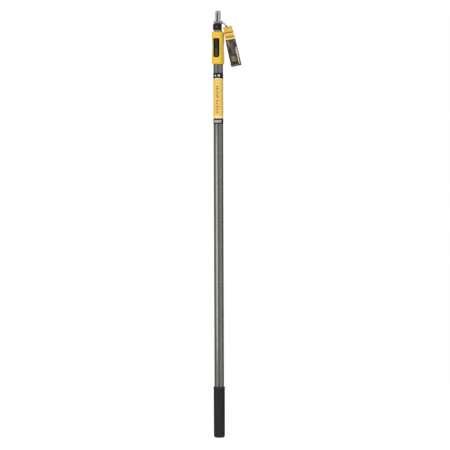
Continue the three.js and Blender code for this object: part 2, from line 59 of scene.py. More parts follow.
# ------------------------------------------------------------------ the part's own dimensions (as in the CAD)
OUTER_R, OUTER_RI, OUTER_Z0, OUTER_Z1 = 14.4, 12.8, 3.9, 1138.0
INNER_R, INNER_RI, INNER_Z0, INNER_Z1 = 12.2, 10.7, 22.0, 1222.2
GRIP_TOP, GRIP_R = 153.0, 16.85
LABEL_Z0, LABEL_Z1, LABEL_RI, LABEL_R = 940.5, 1093.5, 14.5, 15.0
H_Z0, H_Z1, H_HX, H_FRONT, H_BACK, H_RC = 1119.6, 1216.5, 16.5, 20.0, 18.9, 11.5
SCALLOP_DEPTH, SCALLOP_CHORD, SCALLOP_Z = 1.5, 46.0, 1170.0
SLEEVE_R, SLEEVE_Z1 = 14.0, 1213.0
WINDOW_HX, WINDOW_Z0, WINDOW_Z1, WINDOW_RTOP, WINDOW_RBOT = 9.3, 1139.7, 1196.9, 2.6, 6.4
BEZEL_GAP, BEZEL_END, BEZEL_HX = 0.3, 1.1, 4.9
PIVOT_Y, PIVOT_Z, PIVOT_PIN_R = -17.0, 1165.8, 1.25
LEVER_HX = 4.4
LOCK_Z = PIVOT_Z + 19
INDEX_PITCH, INDEX_STEPS, INDEX_R = 25.4, 42, 2.6
GROOVE_HX, GROOVE_FLOOR = 3.2, 11.25
THREAD_MAJOR, THREAD_MINOR, THREAD_PITCH = 9.4, 6.7, 5.08
TIP_TOP, CROWN_Z0, CROWN_BASE, CROWN_Z1, CROWN_R = 1280.4, 1244.2, 1245.9, 1249.5, 14.5
NECK_R, SHANK_R, SHANK_Z0 = 10.0, 10.4, 1196.0
SLOT_HX, SLOT_FLOOR, SLOT_TOP = 1.5, 4.6, 1274.0
COLLAR_Z0, COLLAR_Z1, COLLAR_R = 1222.5, 1240.5, 13.25
COLLAR_CX, COLLAR_CY = -1.75, -1.5
BUTTON_Z, BUTTON_R = 1231.5, 3.55
VIEW_TURN = math.radians(16.5)
TAG_W, TAG_L, TAG_T, TAG_TILT = 31.0, 122.0, 1.0, math.radians(12.8)
TAG_U, TAG_N, TAG_Z = 41.28, 11.5, 1172.93
TAG_HOLE_IN, TAG_HOLE_OFF, TAG_HOLE_R, TAG_CORNER = 3.8, -1.6, 1.4, 3.0
RIVET_Z, RIVET_TURN = 1129.5, math.radians(42)
TIP_RIVET_Z = 1206.0

U = np.array([math.cos(VIEW_TURN), math.sin(VIEW_TURN), 0.0])     # across the view, to the right
N = np.array([math.sin(VIEW_TURN), -math.cos(VIEW_TURN), 0.0])    # towards the camera
ZV = np.array([0.0, 0.0, 1.0])


def at(u, n, z):
    return U * u + N * n + ZV * z


# ------------------------------------------------------------------ camera
CAM_DISTANCE, LENS = 8000.0, 213.33
cam_data = bpy.data.cameras.new("camera")
cam_data.sensor_width = 36.0
cam_data.lens = LENS
cam_data.clip_start, cam_data.clip_end = 0.05, 150.0
camera = bpy.data.objects.new("camera", cam_data)
COL.objects.link(camera)
look = Vector(at(18.8, 0, 637.5) * MM)
back = Vector(N)
camera.location = look + back * CAM_DISTANCE * MM
camera.rotation_euler = ((-back).to_track_quat("-Z", "Y").to_matrix() @ Matrix.Rotation(math.radians(-0.1875), 3, "Z")).to_euler()
bpy.context.scene.camera = camera

# ------------------------------------------------------------------ mesh helpers


class Shell:
    """Vertices in millimetres and faces, put together from rings."""

    def __init__(self):
        self.v, self.f, self.m = [], [], []

    def ring(self, pts):
        i = len(self.v)
        self.v.extend([tuple(map(float, p)) for p in pts])
        return list(range(i, len(self.v)))

    def face(self, f, mat=0):
        self.f.append(tuple(f))
        self.m.append(mat)

    def bridge(self, a, b, closed=True, mat=0):
        n = len(a)
        if len(a) == 1 and len(b) == 1:
            return
        if len(a) == 1 or len(b) == 1:
            big, one = (b, a[0]) if len(a) == 1 else (a, b[0])
            n = len(big)
            for i in range(n if closed else n - 1):
                j = (i + 1) % n
                self.face((one, big[j], big[i]) if len(a) == 1 else (big[i], big[j], one), mat)
            return
        for i in range(n if closed else n - 1):
            j = (i + 1) % n
            self.face((a[i], a[j], b[j], b[i]), mat)

    def grow(self, other):
        i = len(self.v)
        self.v.extend(other.v)
        self.f.extend([tuple(k + i for k in f) for f in other.f])
        self.m.extend(other.m)
        return self

    def moved(self, matrix):
        m = np.array(matrix, float)
        p = np.array(self.v) @ m[:3, :3].T + m[:3, 3]
        self.v = [tuple(q) for q in p]
        return self


def make(name, shell, mats, sharp=32.0, smooth=True, weld=1e-7):
    me = bpy.data.meshes.new(name)
    me.from_pydata([(x * MM, y * MM, z * MM) for x, y, z in shell.v], [], shell.f)
    me.polygons.foreach_set("material_index", shell.m)
    o = bpy.data.objects.new(name, me)
    COL.objects.link(o)
    for m in mats if isinstance(mats, (list, tuple)) else [mats]:
        me.materials.append(m)
    clean(o, sharp, smooth, weld)
    return o


def clean(o, sharp=32.0, smooth=True, weld=1e-7):
    bm = bmesh.new()
    bm.from_mesh(o.data)
    if weld:
        bmesh.ops.remove_doubles(bm, verts=bm.verts, dist=weld)
        bmesh.ops.dissolve_degenerate(bm, edges=bm.edges, dist=weld)
    loose = [v for v in bm.verts if not v.link_faces]
    if loose:
        bmesh.ops.delete(bm, geom=loose, context="VERTS")
    bmesh.ops.recalc_face_normals(bm, faces=bm.faces)
    for f in bm.faces:
        f.smooth = smooth
    limit = math.radians(sharp)
    for e in bm.edges:
        e.smooth = not (len(e.link_faces) != 2 or e.calc_face_angle(0.0) > limit)
    bm.to_mesh(o.data)
    bm.free()
    o.data.update()


def bake_modifiers(o):
    bpy.context.view_layer.update()
    dg = bpy.context.evaluated_depsgraph_get()
    me = bpy.data.meshes.new_from_object(o.evaluated_get(dg), preserve_all_data_layers=True, depsgraph=dg)
    old = o.data
    o.modifiers.clear()
    o.data = me
    me.name = old.name
    bpy.data.meshes.remove(old)


def drop(o):
    me = o.data
    bpy.data.objects.remove(o)
    bpy.data.meshes.remove(me)


def boolean(o, cutter, op="DIFFERENCE", solver="EXACT", self_cut=False, sharp=32.0):
    """cutter is a Shell or an object; it is used up."""
    c = make("cutter", cutter, []) if isinstance(cutter, Shell) else cutter
    mod = o.modifiers.new("b", "BOOLEAN")
    mod.operation = op
    mod.solver = solver
    mod.object = c
    if solver == "EXACT":
        mod.use_self = self_cut
    bake_modifiers(o)
    drop(c)
    clean(o, sharp, True, 2e-8)
    return o


def bevelled(o, width, segments=3, angle=35.0, sharp=60.0, weighted=True):
    mod = o.modifiers.new("bevel", "BEVEL")
    mod.width = width * MM
    mod.segments = segments
    mod.limit_method = "ANGLE"
    mod.angle_limit = math.radians(angle)
    mod.use_clamp_overlap = True
    mod.miter_outer = "MITER_ARC"
    bake_modifiers(o)
    clean(o, sharp, True, 1e-8)
    if weighted:
        w = o.modifiers.new("weighted", "WEIGHTED_NORMAL")
        w.keep_sharp = True
        w.weight = 60
        bake_modifiers(o)
    return o


def rounded(points, default=0.3, steps=5, support=0.25, ends=(None, None)):
    """A polyline of (a, b) or (a, b, radius) with round corners and support points near the ends of its long straights."""
    pts = [np.array(p[:2], float) for p in points]
    rad = [(p[2] if len(p) > 2 else default) for p in points]
    corners = []
    for i, p in enumerate(pts):
        if i in (0, len(pts) - 1):
            corners.append([p])
            continue
        a, b = pts[i - 1] - p, pts[i + 1] - p
        la, lb = np.linalg.norm(a), np.linalg.norm(b)
        a, b = a / la, b / lb
        ang = math.acos(max(-1, min(1, float(a @ b))))
        if rad[i] <= 0 or ang > math.radians(176):
            corners.append([p])
            continue
        t = min(rad[i] / math.tan(ang / 2), 0.48 * la, 0.48 * lb)
        r = t * math.tan(ang / 2)
        c = p + (a + b) / np.linalg.norm(a + b) * (r / math.sin(ang / 2))
        s, e = p + a * t - c, p + b * t - c
        sweep = math.pi - ang
        turn = 1 if s[0] * e[1] - s[1] * e[0] > 0 else -1
        out = []
        for k in range(steps + 1):
            w = turn * sweep * k / steps
            cw, sw = math.cos(w), math.sin(w)
            out.append(c + np.array([s[0] * cw - s[1] * sw, s[0] * sw + s[1] * cw]))
        corners.append(out)
    result = []
    for i, c in enumerate(corners):
        if i:
            p, q = result[-1], c[0]
            d = np.linalg.norm(q - p)
            if d > 4 * support:
                k = (q - p) / d
                result += [p + k * support, q - k * support]
        result += c
    return [tuple(p) for p in result]


def lathe(profile, seg=128, phase=0.0, wobble=None):
    """A turned shell about Z. A profile closes on itself if its ends meet, or on the axis where its radius is 0."""
    s = Shell()
    rings = []
    closed = np.allclose(profile[0], profile[-1])
    ang = phase + np.arange(seg) * 2 * math.pi / seg
    ca, sa = np.cos(ang), np.sin(ang)
    for r, z in profile[: -1 if closed else None]:
        if r < 1e-6:
            rings.append(s.ring([(0, 0, z)]))
        else:
            rr = r if wobble is None else r + wobble(ang, r, z)
            rings.append(s.ring(np.stack([rr * ca, rr * sa, np.full(seg, z)], 1)))
    for a, b in zip(rings, rings[1:]):
        s.bridge(a, b)
    if closed:
        s.bridge(rings[-1], rings[0])
    return s


def to_y(shell, x=0.0, z=0.0, turn=0.0):
    """A shell turned about Z stands along +Y instead, at x and z, then turns about the pole's axis."""
    m = Matrix.Rotation(turn, 4, "Z") @ Matrix.Translation((x, 0, z)) @ Matrix.Rotation(math.radians(-90), 4, "X")
    return shell.moved(m)


def bar_y(r, y0, y1, x, z, seg=48, turn=0.0):
    """A round bar along Y."""
    s = lathe([(0, y0), (r, y0), (r, y1), (0, y1)], seg)
    return to_y(s, x, z, turn)


def bar_x(r, x0, x1, y, z, seg=48):
    s = lathe([(0, x0), (r, x0), (r, x1), (0, x1)], seg)
    return s.moved(Matrix.Translation((0, y, z)) @ Matrix.Rotation(math.radians(90), 4, "Y"))


def block(x0, x1, y0, y1, z0, z1):
    s = Shell()
    a = s.ring([(x0, y0, z0), (x1, y0, z0), (x1, y1, z0), (x0, y1, z0)])
    b = s.ring([(x0, y0, z1), (x1, y0, z1), (x1, y1, z1), (x0, y1, z1)])
    s.bridge(a, b)
    s.face(a[::-1])
    s.face(b)
    return s


def prism_x(points, x0, x1):
    """An outline in Y and Z given width along X."""
    s = Shell()
    a = s.ring([(x0, y, z) for y, z in points])
    b = s.ring([(x1, y, z) for y, z in points])
    s.bridge(a, b)
    s.face(a[::-1])
    s.face(b)
    return s


def window_outline(hx, z0, z1, r_top, r_bot, steps=8, edge=10, side=36):
    """The trigger window's outline in X and Z as a closed list with the same count and order for every size."""
    pts = []

    def corner(cx, cz, r, a0):
        for i in range(steps + 1):
            a = a0 + (i / steps) * math.pi / 2
            pts.append((cx + r * math.cos(a), cz + r * math.sin(a)))

    def straight(q, n):
        p = pts[-1]
        for i in range(1, n):
            pts.append((p[0] + (q[0] - p[0]) * i / n, p[1] + (q[1] - p[1]) * i / n))

    corner(hx - r_bot, z0 + r_bot, r_bot, -math.pi / 2)
    straight((hx, z1 - r_top), side)
    corner(hx - r_top, z1 - r_top, r_top, 0)
    straight((-hx + r_top, z1), edge)
    corner(-hx + r_top, z1 - r_top, r_top, math.pi / 2)
    straight((-hx, z0 + r_bot), side)
    corner(-hx + r_bot, z0 + r_bot, r_bot, math.pi)
    straight((hx - r_bot, z0), edge)
    return np.array(pts)


def scallop(z):
    """How far each side of the housing is drawn in at height z."""
    d = np.abs(np.asarray(z, float) - SCALLOP_Z) / (SCALLOP_CHORD / 2 + 3)
    return np.where(d < 1, SCALLOP_DEPTH * np.cos(np.clip(d, 0, 1) * math.pi / 2) ** 2, 0.0)


def front_y(x, z):
    """The housing's front surface away from its rounded ends, at x and z."""
    hx = H_HX - scallop(z)
    ax = np.abs(x) * H_HX / hx
    c = H_HX - H_RC
    over = np.clip(ax - c, 0, H_RC)
    return -H_FRONT + H_RC - np.sqrt(np.clip(H_RC**2 - over**2, 0, None))


# ------------------------------------------------------------------ material helpers


def lin(hex_or_rgb):
    if isinstance(hex_or_rgb, str):
        h = hex_or_rgb.lstrip("#")
        c = [int(h[i : i + 2], 16) / 255 for i in (0, 2, 4)]
    else:
        c = [v / 255 for v in hex_or_rgb]
    return tuple(v / 12.92 if v <= 0.04045 else ((v + 0.055) / 1.055) ** 2.4 for v in c) + (1.0,)


class Mat:
    """A node material put together in code."""

    def __init__(self, name):
        self.m = bpy.data.materials.new(name)
        self.m.use_nodes = True
        self.t = self.m.node_tree
        self.t.nodes.clear()
        self.out = self.n("ShaderNodeOutputMaterial")
        self.b = self.n("ShaderNodeBsdfPrincipled")
        self.link(self.b.outputs["BSDF"], self.out.inputs["Surface"])
        tc = self.n("ShaderNodeTexCoord")
        mp = self.n("ShaderNodeMapping")
        mp.inputs["Scale"].default_value = (1000, 1000, 1000)
        self.link(tc.outputs["Object"], mp.inputs["Vector"])
        self.P = mp.outputs["Vector"]  # millimetres in the row frame

    def n(self, kind, **props):
        node = self.t.nodes.new(kind)
        for k, v in props.items():
            setattr(node, k, v)
        return node

    def link(self, a, b):
        self.t.links.new(a, b)

    def feed(self, socket, value):
        if isinstance(value, bpy.types.NodeSocket):
            self.link(value, socket)
        else:
            socket.default_value = value

    def set(self, name, value):
        self.feed(self.b.inputs[name], value)

    def math(self, op, a, b=None, c=None, clamp=False):
        n = self.n("ShaderNodeMath", operation=op, use_clamp=clamp)
        for i, v in enumerate((a, b, c)):
            if v is not None:
                self.feed(n.inputs[i], v)
        return n.outputs[0]

    def scaled(self, vec, s, offset=(0, 0, 0)):
        n = self.n("ShaderNodeMapping")
        n.inputs["Scale"].default_value = s
        n.inputs["Location"].default_value = offset
        self.link(vec, n.inputs["Vector"])
        return n.outputs["Vector"]

    def split(self, vec):
        n = self.n("ShaderNodeSeparateXYZ")
        self.link(vec, n.inputs[0])
        return n.outputs[0], n.outputs[1], n.outputs[2]

    def join(self, x, y, z):
        n = self.n("ShaderNodeCombineXYZ")
        for i, v in enumerate((x, y, z)):
            self.feed(n.inputs[i], v)
        return n.outputs[0]

    def noise(self, vec, scale=1.0, detail=3.0, rough=0.5, distortion=0.0):
        n = self.n("ShaderNodeTexNoise")
        self.link(vec, n.inputs["Vector"])
        n.inputs["Scale"].default_value = scale
        n.inputs["Detail"].default_value = detail
        n.inputs["Roughness"].default_value = rough
        n.inputs["Distortion"].default_value = distortion
        return n.outputs[0]

    def voronoi(self, vec, scale=1.0, feature="F1", output="Distance", randomness=1.0):
        n = self.n("ShaderNodeTexVoronoi", feature=feature)
        self.link(vec, n.inputs["Vector"])
        n.inputs["Scale"].default_value = scale
        n.inputs["Randomness"].default_value = randomness
        return n.outputs[output]

    def ramp(self, fac, stops, interp="LINEAR"):
        n = self.n("ShaderNodeValToRGB")
        n.color_ramp.interpolation = interp
        els = n.color_ramp.elements
        while len(els) > 1:
            els.remove(els[-1])
        for i, (p, c) in enumerate(stops):
            e = els[0] if i == 0 else els.new(p)
            e.position = p
            e.color = (c, c, c, 1) if isinstance(c, (int, float)) else c
        self.feed(n.inputs[0], fac)
        return n.outputs[0]

    def remap(self, v, a, b, c, d, clamp=True, smooth=False):
        n = self.n("ShaderNodeMapRange", clamp=clamp)
        n.interpolation_type = "SMOOTHSTEP" if smooth else "LINEAR"
        self.feed(n.inputs[0], v)
        for i, x in enumerate((a, b, c, d)):
            self.feed(n.inputs[i + 1], x)
        return n.outputs[0]

    def mix(self, fac, a, b, blend="MIX"):
        n = self.n("ShaderNodeMix", data_type="RGBA", blend_type=blend)
        self.feed(n.inputs[0], fac)
        self.feed(n.inputs[6], a)
        self.feed(n.inputs[7], b)
        return n.outputs[2]

    def bump(self, height, distance_mm, strength=1.0, under=None):
        n = self.n("ShaderNodeBump")
        n.inputs["Strength"].default_value = strength
        n.inputs["Distance"].default_value = distance_mm * MM
        self.feed(n.inputs["Height"], height)
        if under is not None:
            self.link(under, n.inputs["Normal"])
        return n.outputs[0]

    def scratches(self, vec, scale, width=0.008, keep=0.55):
        """Thin curved lines, 1 on the line, only in patches."""
        a = self.noise(vec, scale, 0.0, 0.4, 0.0)
        line = self.math("SUBTRACT", 1.0, self.remap(self.math("ABSOLUTE", self.math("SUBTRACT", a, 0.5)), 0.0, width, 0.0, 1.0))
        patch = self.noise(vec, scale * 0.37, 2.0)
        return self.math("MULTIPLY", line, self.remap(patch, keep, keep + 0.08, 0.0, 1.0))

    def radius(self):
        x, y, z = self.split(self.P)
        return self.math("SQRT", self.math("ADD", self.math("MULTIPLY", x, x), self.math("MULTIPLY", y, y)))


def metal(name, light, dark, rough=(0.26, 0.38), lengthwise=True, metallic=0.9, grain=0.004, axis_scale=(2.4, 2.4, 0.018), scratch=0.5, pits=0.5):
    M = Mat(name)
    if lengthwise:
        streak = M.noise(M.scaled(M.P, axis_scale), 1.0, 5.0, 0.62)
        blotch = M.noise(M.scaled(M.P, (0.06, 0.06, 0.012)), 1.0, 3.0, 0.5)
    else:
        streak = M.noise(M.P, 1.7, 5.0, 0.65)
        blotch = M.noise(M.P, 0.16, 3.0, 0.5)
    fine = M.noise(M.P, 9.0, 2.0, 0.5)
    tone = M.math("ADD", M.math("MULTIPLY", streak, 0.55), M.math("ADD", M.math("MULTIPLY", blotch, 0.35), M.math("MULTIPLY", fine, 0.10)))
    col = M.ramp(tone, [(0.30, lin(dark)), (0.70, lin(light))])
    scr = M.scratches(M.scaled(M.P, (1.0, 1.0, 0.35)), 0.22, 0.006, 0.56)
    col = M.mix(M.math("MULTIPLY", scr, 0.22 * scratch), col, lin("#c9c7c1"))
    M.set("Base Color", col)
    M.set("Metallic", metallic)
    r = M.remap(tone, 0.3, 0.7, rough[1], rough[0])
    M.set("Roughness", M.math("ADD", r, M.math("MULTIPLY", scr, 0.10), clamp=True))
    h = M.math("ADD", M.math("MULTIPLY", streak, 1.0), M.math("SUBTRACT", M.math("MULTIPLY", fine, pits), M.math("MULTIPLY", scr, 0.8 * min(1.0, 2 * pits))))
    M.set("Normal", M.bump(h, grain))
    return M.m


def plastic(name, base, dark, light, rough=(0.36, 0.5), grain_scale=5.0, grain=0.012, coat=0.0, sub=0.0, spec=0.5, wear=None):
    M = Mat(name)
    big = M.noise(M.P, 0.05, 3.0, 0.5)
    mid = M.noise(M.P, 0.6, 4.0, 0.55)
    fine = M.noise(M.P, grain_scale, 3.0, 0.6)
    tone = M.math("ADD", M.math("MULTIPLY", big, 0.6), M.math("MULTIPLY", mid, 0.4))
    col = M.ramp(tone, [(0.32, lin(dark)), (0.5, lin(base)), (0.70, lin(light))])
    scr = M.math("MULTIPLY", M.scratches(M.scaled(M.P, (1.0, 1.0, 0.22)), 0.22, 0.004, 0.59), M.remap(M.noise(M.P, 0.3, 2.0), 0.42, 0.6, 0.0, 1.0))
    if wear is not None:
        col = M.mix(M.math("MULTIPLY", scr, 0.16), col, lin(wear))
    M.set("Base Color", col)
    r = M.remap(M.math("ADD", M.math("MULTIPLY", mid, 0.6), M.math("MULTIPLY", fine, 0.4)), 0.35, 0.65, rough[0], rough[1])
    M.set("Roughness", M.math("ADD", r, M.math("MULTIPLY", scr, 0.08), clamp=True))
    h = M.math("SUBTRACT", fine, M.math("MULTIPLY", scr, 0.35))
    M.set("Normal", M.bump(h, grain))
    M.set("Specular IOR Level", spec)
    if coat:
        M.set("Coat Weight", coat)
        M.set("Coat Roughness", 0.18)
    if sub:
        M.set("Subsurface Weight", sub)
        M.set("Subsurface Radius", (1.0, 0.45, 0.10))
        M.set("Subsurface Scale", 0.003)
    return M.m


GREY_TUBE = metal("grey_anodised", "#a19e98", "#878480", rough=(0.19, 0.24), metallic=0.88, grain=0.003, pits=0.08)
BARE = metal("bare_aluminium", "#cdc7ba", "#a9a397", rough=(0.24, 0.36), metallic=0.95, grain=0.005)
STEEL = metal("plain_steel", "#b5b4b0", "#8e8d89", rough=(0.22, 0.34), lengthwise=False, metallic=1.0, grain=0.006)
DARK_STEEL = metal("dark_steel", "#6c6b69", "#4b4a49", rough=(0.3, 0.42), lengthwise=False, metallic=0.95, grain=0.006)
SPRING_STEEL = metal("oiled_spring_steel", "#5a5957", "#3a3937", rough=(0.32, 0.44), lengthwise=False, metallic=0.9, grain=0.006)
BLACK = plastic("black_plastic", "#0a090a", "#060606", "#121111", rough=(0.40, 0.52), grain_scale=6.0, grain=0.010, spec=0.32, wear="#343332")
# painted shade: the bezel liner's near-black matt plastic stands for the deep shadow in the gap round the lever
PAINTED_SHADE_BLACK = plastic("painted_shade_black_plastic", "#050505", "#030303", "#0a090a", rough=(0.55, 0.66), grain_scale=6.0, grain=0.012, spec=0.10, wear="#1c1b1b")
COLLAR_BLACK = plastic("collar_black_plastic", "#151313", "#0d0c0c", "#211e1e", rough=(0.40, 0.52), grain_scale=6.0, grain=0.012, spec=0.36, wear="#4a4746")
BUTTON_GREY = plastic("button_grey_plastic", "#454140", "#3a3736", "#504c4a", rough=(0.38, 0.48), grain_scale=5.0, grain=0.012, spec=0.42, wear="#6a6765")
DARK = plastic("dark_grey_plastic", "#1f1e1f", "#181718", "#282728", rough=(0.42, 0.55), grain_scale=5.0, grain=0.016, spec=0.36, wear="#4b4a48")
NYLON = plastic("pale_nylon", "#cfcabb", "#bdb8a8", "#ded9cb", rough=(0.4, 0.5), grain=0.006, sub=0.1)
YELLOW = plastic("yellow_plastic", "#eac23e", "#e4ba33", "#efc948", rough=(0.36, 0.46), grain_scale=4.0, grain=0.008, sub=0.22, spec=0.30, wear="#f4d98a")


def make_cast():
    M = Mat("cast_metal")
    mott = M.noise(M.P, 0.35, 3.0, 0.5)
    fine = M.noise(M.P, 8.0, 3.0, 0.6)
    tone = M.math("ADD", M.math("MULTIPLY", mott, 0.5), M.math("MULTIPLY", fine, 0.5))
    col = M.ramp(tone, [(0.30, lin("#cccbc8")), (0.70, lin("#dcdbd8"))])
    # thread crests and the crown's rim rub bright, roots hold the darker casting skin
    r = M.radius()
    crest = M.remap(r, THREAD_MAJOR - 0.55, THREAD_MAJOR - 0.02, 0.0, 1.0, smooth=True)
    low = M.math("LESS_THAN", r, THREAD_MAJOR + 0.2)
    x, y, z = M.split(M.P)
    up = M.math("GREATER_THAN", z, CROWN_BASE + 0.9)
    on = M.math("MULTIPLY", M.math("MULTIPLY", crest, low), up)
    patch = M.remap(M.noise(M.P, 0.5, 3.0, 0.5), 0.35, 0.60, 0.45, 1.0)
    on = M.math("MULTIPLY", on, patch)
    col = M.mix(on, col, lin("#eceae6"))
    root = M.math("MULTIPLY", M.remap(r, THREAD_MINOR + 0.1, THREAD_MINOR + 0.9, 0.45, 0.0, smooth=True), up)
    col = M.mix(root, col, lin("#858481"))
    M.set("Base Color", col)
    M.set("Metallic", 0.5)
    M.set("Roughness", M.math("SUBTRACT", M.remap(tone, 0.3, 0.7, 0.47, 0.39), M.math("MULTIPLY", on, 0.10), clamp=True))
    M.set("Normal", M.bump(M.math("ADD", mott, M.math("MULTIPLY", fine, 0.5)), 0.009))
    return M.m


def make_rubber():
    M = Mat("grip_rubber")
    big = M.noise(M.scaled(M.P, (0.09, 0.09, 0.02)), 1.0, 3.0, 0.5)
    cells = M.voronoi(M.P, 1.6, "F1", "Distance")
    fine = M.noise(M.P, 5.5, 3.0, 0.6)
    tone = M.math("ADD", M.math("MULTIPLY", big, 0.6), M.math("MULTIPLY", fine, 0.4))
    col = M.ramp(tone, [(0.3, lin("#272526")), (0.7, lin("#333132"))])
    # dust caught in the grooves and rubbed lighter on the two rims
    x, y, z = M.split(M.P)
    rim = M.math("MAXIMUM", M.remap(z, 136.0, 152.0, 0.0, 0.7, smooth=True), M.remap(z, 14.0, 2.0, 0.0, 0.7, smooth=True))
    rub = M.math("MULTIPLY", rim, M.remap(M.noise(M.P, 0.45, 4.0, 0.6), 0.45, 0.65, 0.0, 0.55))
    col = M.mix(rub, col, lin("#454240"))
    M.set("Base Color", col)
    M.set("Roughness", M.remap(M.math("ADD", M.math("MULTIPLY", cells, 0.5), M.math("MULTIPLY", fine, 0.5)), 0.2, 0.7, 0.46, 0.62))
    M.set("Specular IOR Level", 0.16)
    h = M.math("ADD", M.math("MULTIPLY", cells, -0.8), M.math("MULTIPLY", fine, 0.6))
    M.set("Normal", M.bump(h, 0.035))
    return M.m


def make_cord():
    M = Mat("dark_cord")
    fibre = M.noise(M.P, 6.0, 4.0, 0.7)
    col = M.ramp(fibre, [(0.3, lin("#171310")), (0.7, lin("#3a332d"))])
    M.set("Base Color", col)
    M.set("Roughness", M.remap(fibre, 0.3, 0.7, 0.9, 0.7))
    M.set("Sheen Weight", 0.25)
    M.set("Sheen Roughness", 0.5)
    M.set("Normal", M.bump(fibre, 0.05))
    return M.m



def make_lever():
    M = Mat("lever_plastic")
    mid = M.noise(M.P, 0.6, 4.0, 0.55)
    fine = M.noise(M.P, 5.0, 3.0, 0.6)
    x, y, z = M.split(M.P)
    col = M.ramp(mid, [(0.3, lin("#1b1a1b")), (0.7, lin("#232223"))])
    # painted highlight: the face below the pivot is painted a paler grey, standing for the light that the lower facet
    # catches as it turns upwards
    pale = M.ramp(mid, [(0.3, lin("#363536")), (0.7, lin("#413f40"))])
    painted_lit_facet_mask = M.math("MULTIPLY", M.remap(z, PIVOT_Z + 1.0, PIVOT_Z - 3.0, 0.0, 1.0, smooth=True), M.remap(y, -18.4, -18.9, 0.0, 1.0))
    col = M.mix(painted_lit_facet_mask, col, pale)
    M.set("Base Color", col)
    M.set("Roughness", M.remap(M.math("ADD", M.math("MULTIPLY", mid, 0.6), M.math("MULTIPLY", fine, 0.4)), 0.35, 0.65, 0.42, 0.54))
    M.set("Normal", M.bump(fine, 0.016))
    M.set("Specular IOR Level", 0.4)
    return M.m


CAST, RUBBER, CORD, LEVER = make_cast(), make_rubber(), make_cord(), make_lever()


def box_mask(M, x, y, x0, x1, y0, y1, soft=0.12):
    """1 inside a rectangle of the print, with a thin soft edge."""
    a = M.math("MULTIPLY", M.remap(x, x0 - soft, x0 + soft, 0.0, 1.0), M.remap(x, x1 - soft, x1 + soft, 1.0, 0.0))
    b = M.math("MULTIPLY", M.remap(y, y0 - soft, y0 + soft, 0.0, 1.0), M.remap(y, y1 - soft, y1 + soft, 1.0, 0.0))
    return M.math("MULTIPLY", a, b)


def oval_mask(M, x, y, cx, cy, rx, ry, soft=0.12):
    dx = M.math("DIVIDE", M.math("SUBTRACT", x, cx), rx)
    dy = M.math("DIVIDE", M.math("SUBTRACT", y, cy), ry)
    d = M.math("SQRT", M.math("ADD", M.math("MULTIPLY", dx, dx), M.math("MULTIPLY", dy, dy)))
    return M.remap(d, 1 - soft, 1 + soft, 1.0, 0.0)


def make_label():
    """Printed film: a dark band with two pale discs, a yellow field with plain bars, a pale panel between dark rings."""
    M = Mat("label_film")
    x, y, z = M.split(M.P)
    # s runs round the sleeve in millimetres from the middle of the print
    turn = VIEW_TURN - math.radians(6.0)
    c, s_ = math.cos(turn), math.sin(turn)
    u = M.math("ADD", M.math("MULTIPLY", x, c), M.math("MULTIPLY", y, s_))
    n = M.math("SUBTRACT", M.math("MULTIPLY", x, s_), M.math("MULTIPLY", y, c))
    s = M.math("MULTIPLY", M.math("ARCTAN2", u, n), LABEL_R)
    warp = M.noise(M.P, 0.35, 2.0)
    yellow = M.ramp(M.math("ADD", M.math("MULTIPLY", M.noise(M.scaled(M.P, (0.12, 0.12, 0.03)), 1.0, 3.0), 0.7), M.math("MULTIPLY", M.noise(M.P, 3.0, 3.0), 0.3)),
                    [(0.32, lin("#e2be5a")), (0.68, lin("#eacb69"))])
    dark = lin("#121015")
    col = yellow
    # bars in olive, then bars in orange-red
    bars = [(1050.8, 1054.6, -4.8, 0.6), (1044.4, 1048.2, -4.8, 2.8), (1038.0, 1041.8, -4.8, -0.4), (1031.6, 1035.4, -4.8, 2.2), (1025.2, 1029.0, -4.8, 0.8), (1018.8, 1022.6, -4.8, 2.6)]
    for z0, z1, s0, s1 in bars:
        col = M.mix(M.math("MULTIPLY", box_mask(M, s, z, s0, s1, z0, z1), 0.92), col, lin("#7d6415"))
    reds = [(1006.6, 1012.4, -6.2, 2.2), (998.0, 1003.8, -6.2, 0.4), (989.4, 995.2, -6.2, 2.6), (980.8, 986.6, -6.2, 1.0), (972.2, 978.0, -6.2, 2.0)]
    for z0, z1, s0, s1 in reds:
        col = M.mix(M.math("MULTIPLY", box_mask(M, s, z, s0, s1, z0, z1), 0.78), col, lin("#c4602a"))
    # a pale band at the foot of the yellow field
    col = M.mix(M.remap(z, 966.5, 963.0, 0.0, 0.65, smooth=True), col, lin("#fae6a0"))
    # the dark band at the top, with a bowed lower edge and a cream line under it
    bow = M.math("SUBTRACT", 1077.6, M.math("MULTIPLY", M.math("MINIMUM", M.math("MULTIPLY", s, s), 380.0), 0.008))
    over = M.math("SUBTRACT", z, bow)
    col = M.mix(M.remap(over, -2.4, -2.1, 0.0, 0.85), col, lin("#f7e7bd"))
    col = M.mix(M.remap(over, -0.12, 0.12, 0.0, 1.0), col, dark)
    col = M.mix(oval_mask(M, s, z, -8.0, 1084.9, 2.3, 2.7, 0.10), col, lin("#d9d6d2"))
    col = M.mix(oval_mask(M, s, z, 3.2, 1085.3, 3.7, 2.9, 0.08), col, lin("#d9d6d2"))
    # rings and the pale panel below the field
    col = M.mix(M.remap(z, 956.9, 956.7, 0.0, 1.0), col, dark)
    panel = box_mask(M, s, z, -14.5, 12.0, 943.9, 951.9, 0.15)
    col = M.mix(panel, col, lin("#a29a97"))
    col = M.mix(M.math("MULTIPLY", box_mask(M, s, z, -14.0, 11.5, 948.6, 951.0, 0.5), 0.55), col, lin("#c9bfb6"))
    # scuffs
    scr = M.scratches(M.scaled(M.P, (1, 1, 0.2)), 0.2, 0.004, 0.58)
    col = M.mix(M.math("MULTIPLY", scr, 0.14), col, lin("#efe6cf"))
    M.set("Base Color", col)
    M.set("Roughness", M.remap(warp, 0.3, 0.7, 0.26, 0.36))
    M.set("Specular IOR Level", 0.5)
    M.set("Normal", M.bump(M.math("ADD", warp, M.math("MULTIPLY", M.noise(M.P, 2.5, 2.0), 0.3)), 0.03))
    return M.m


LABEL = make_label()


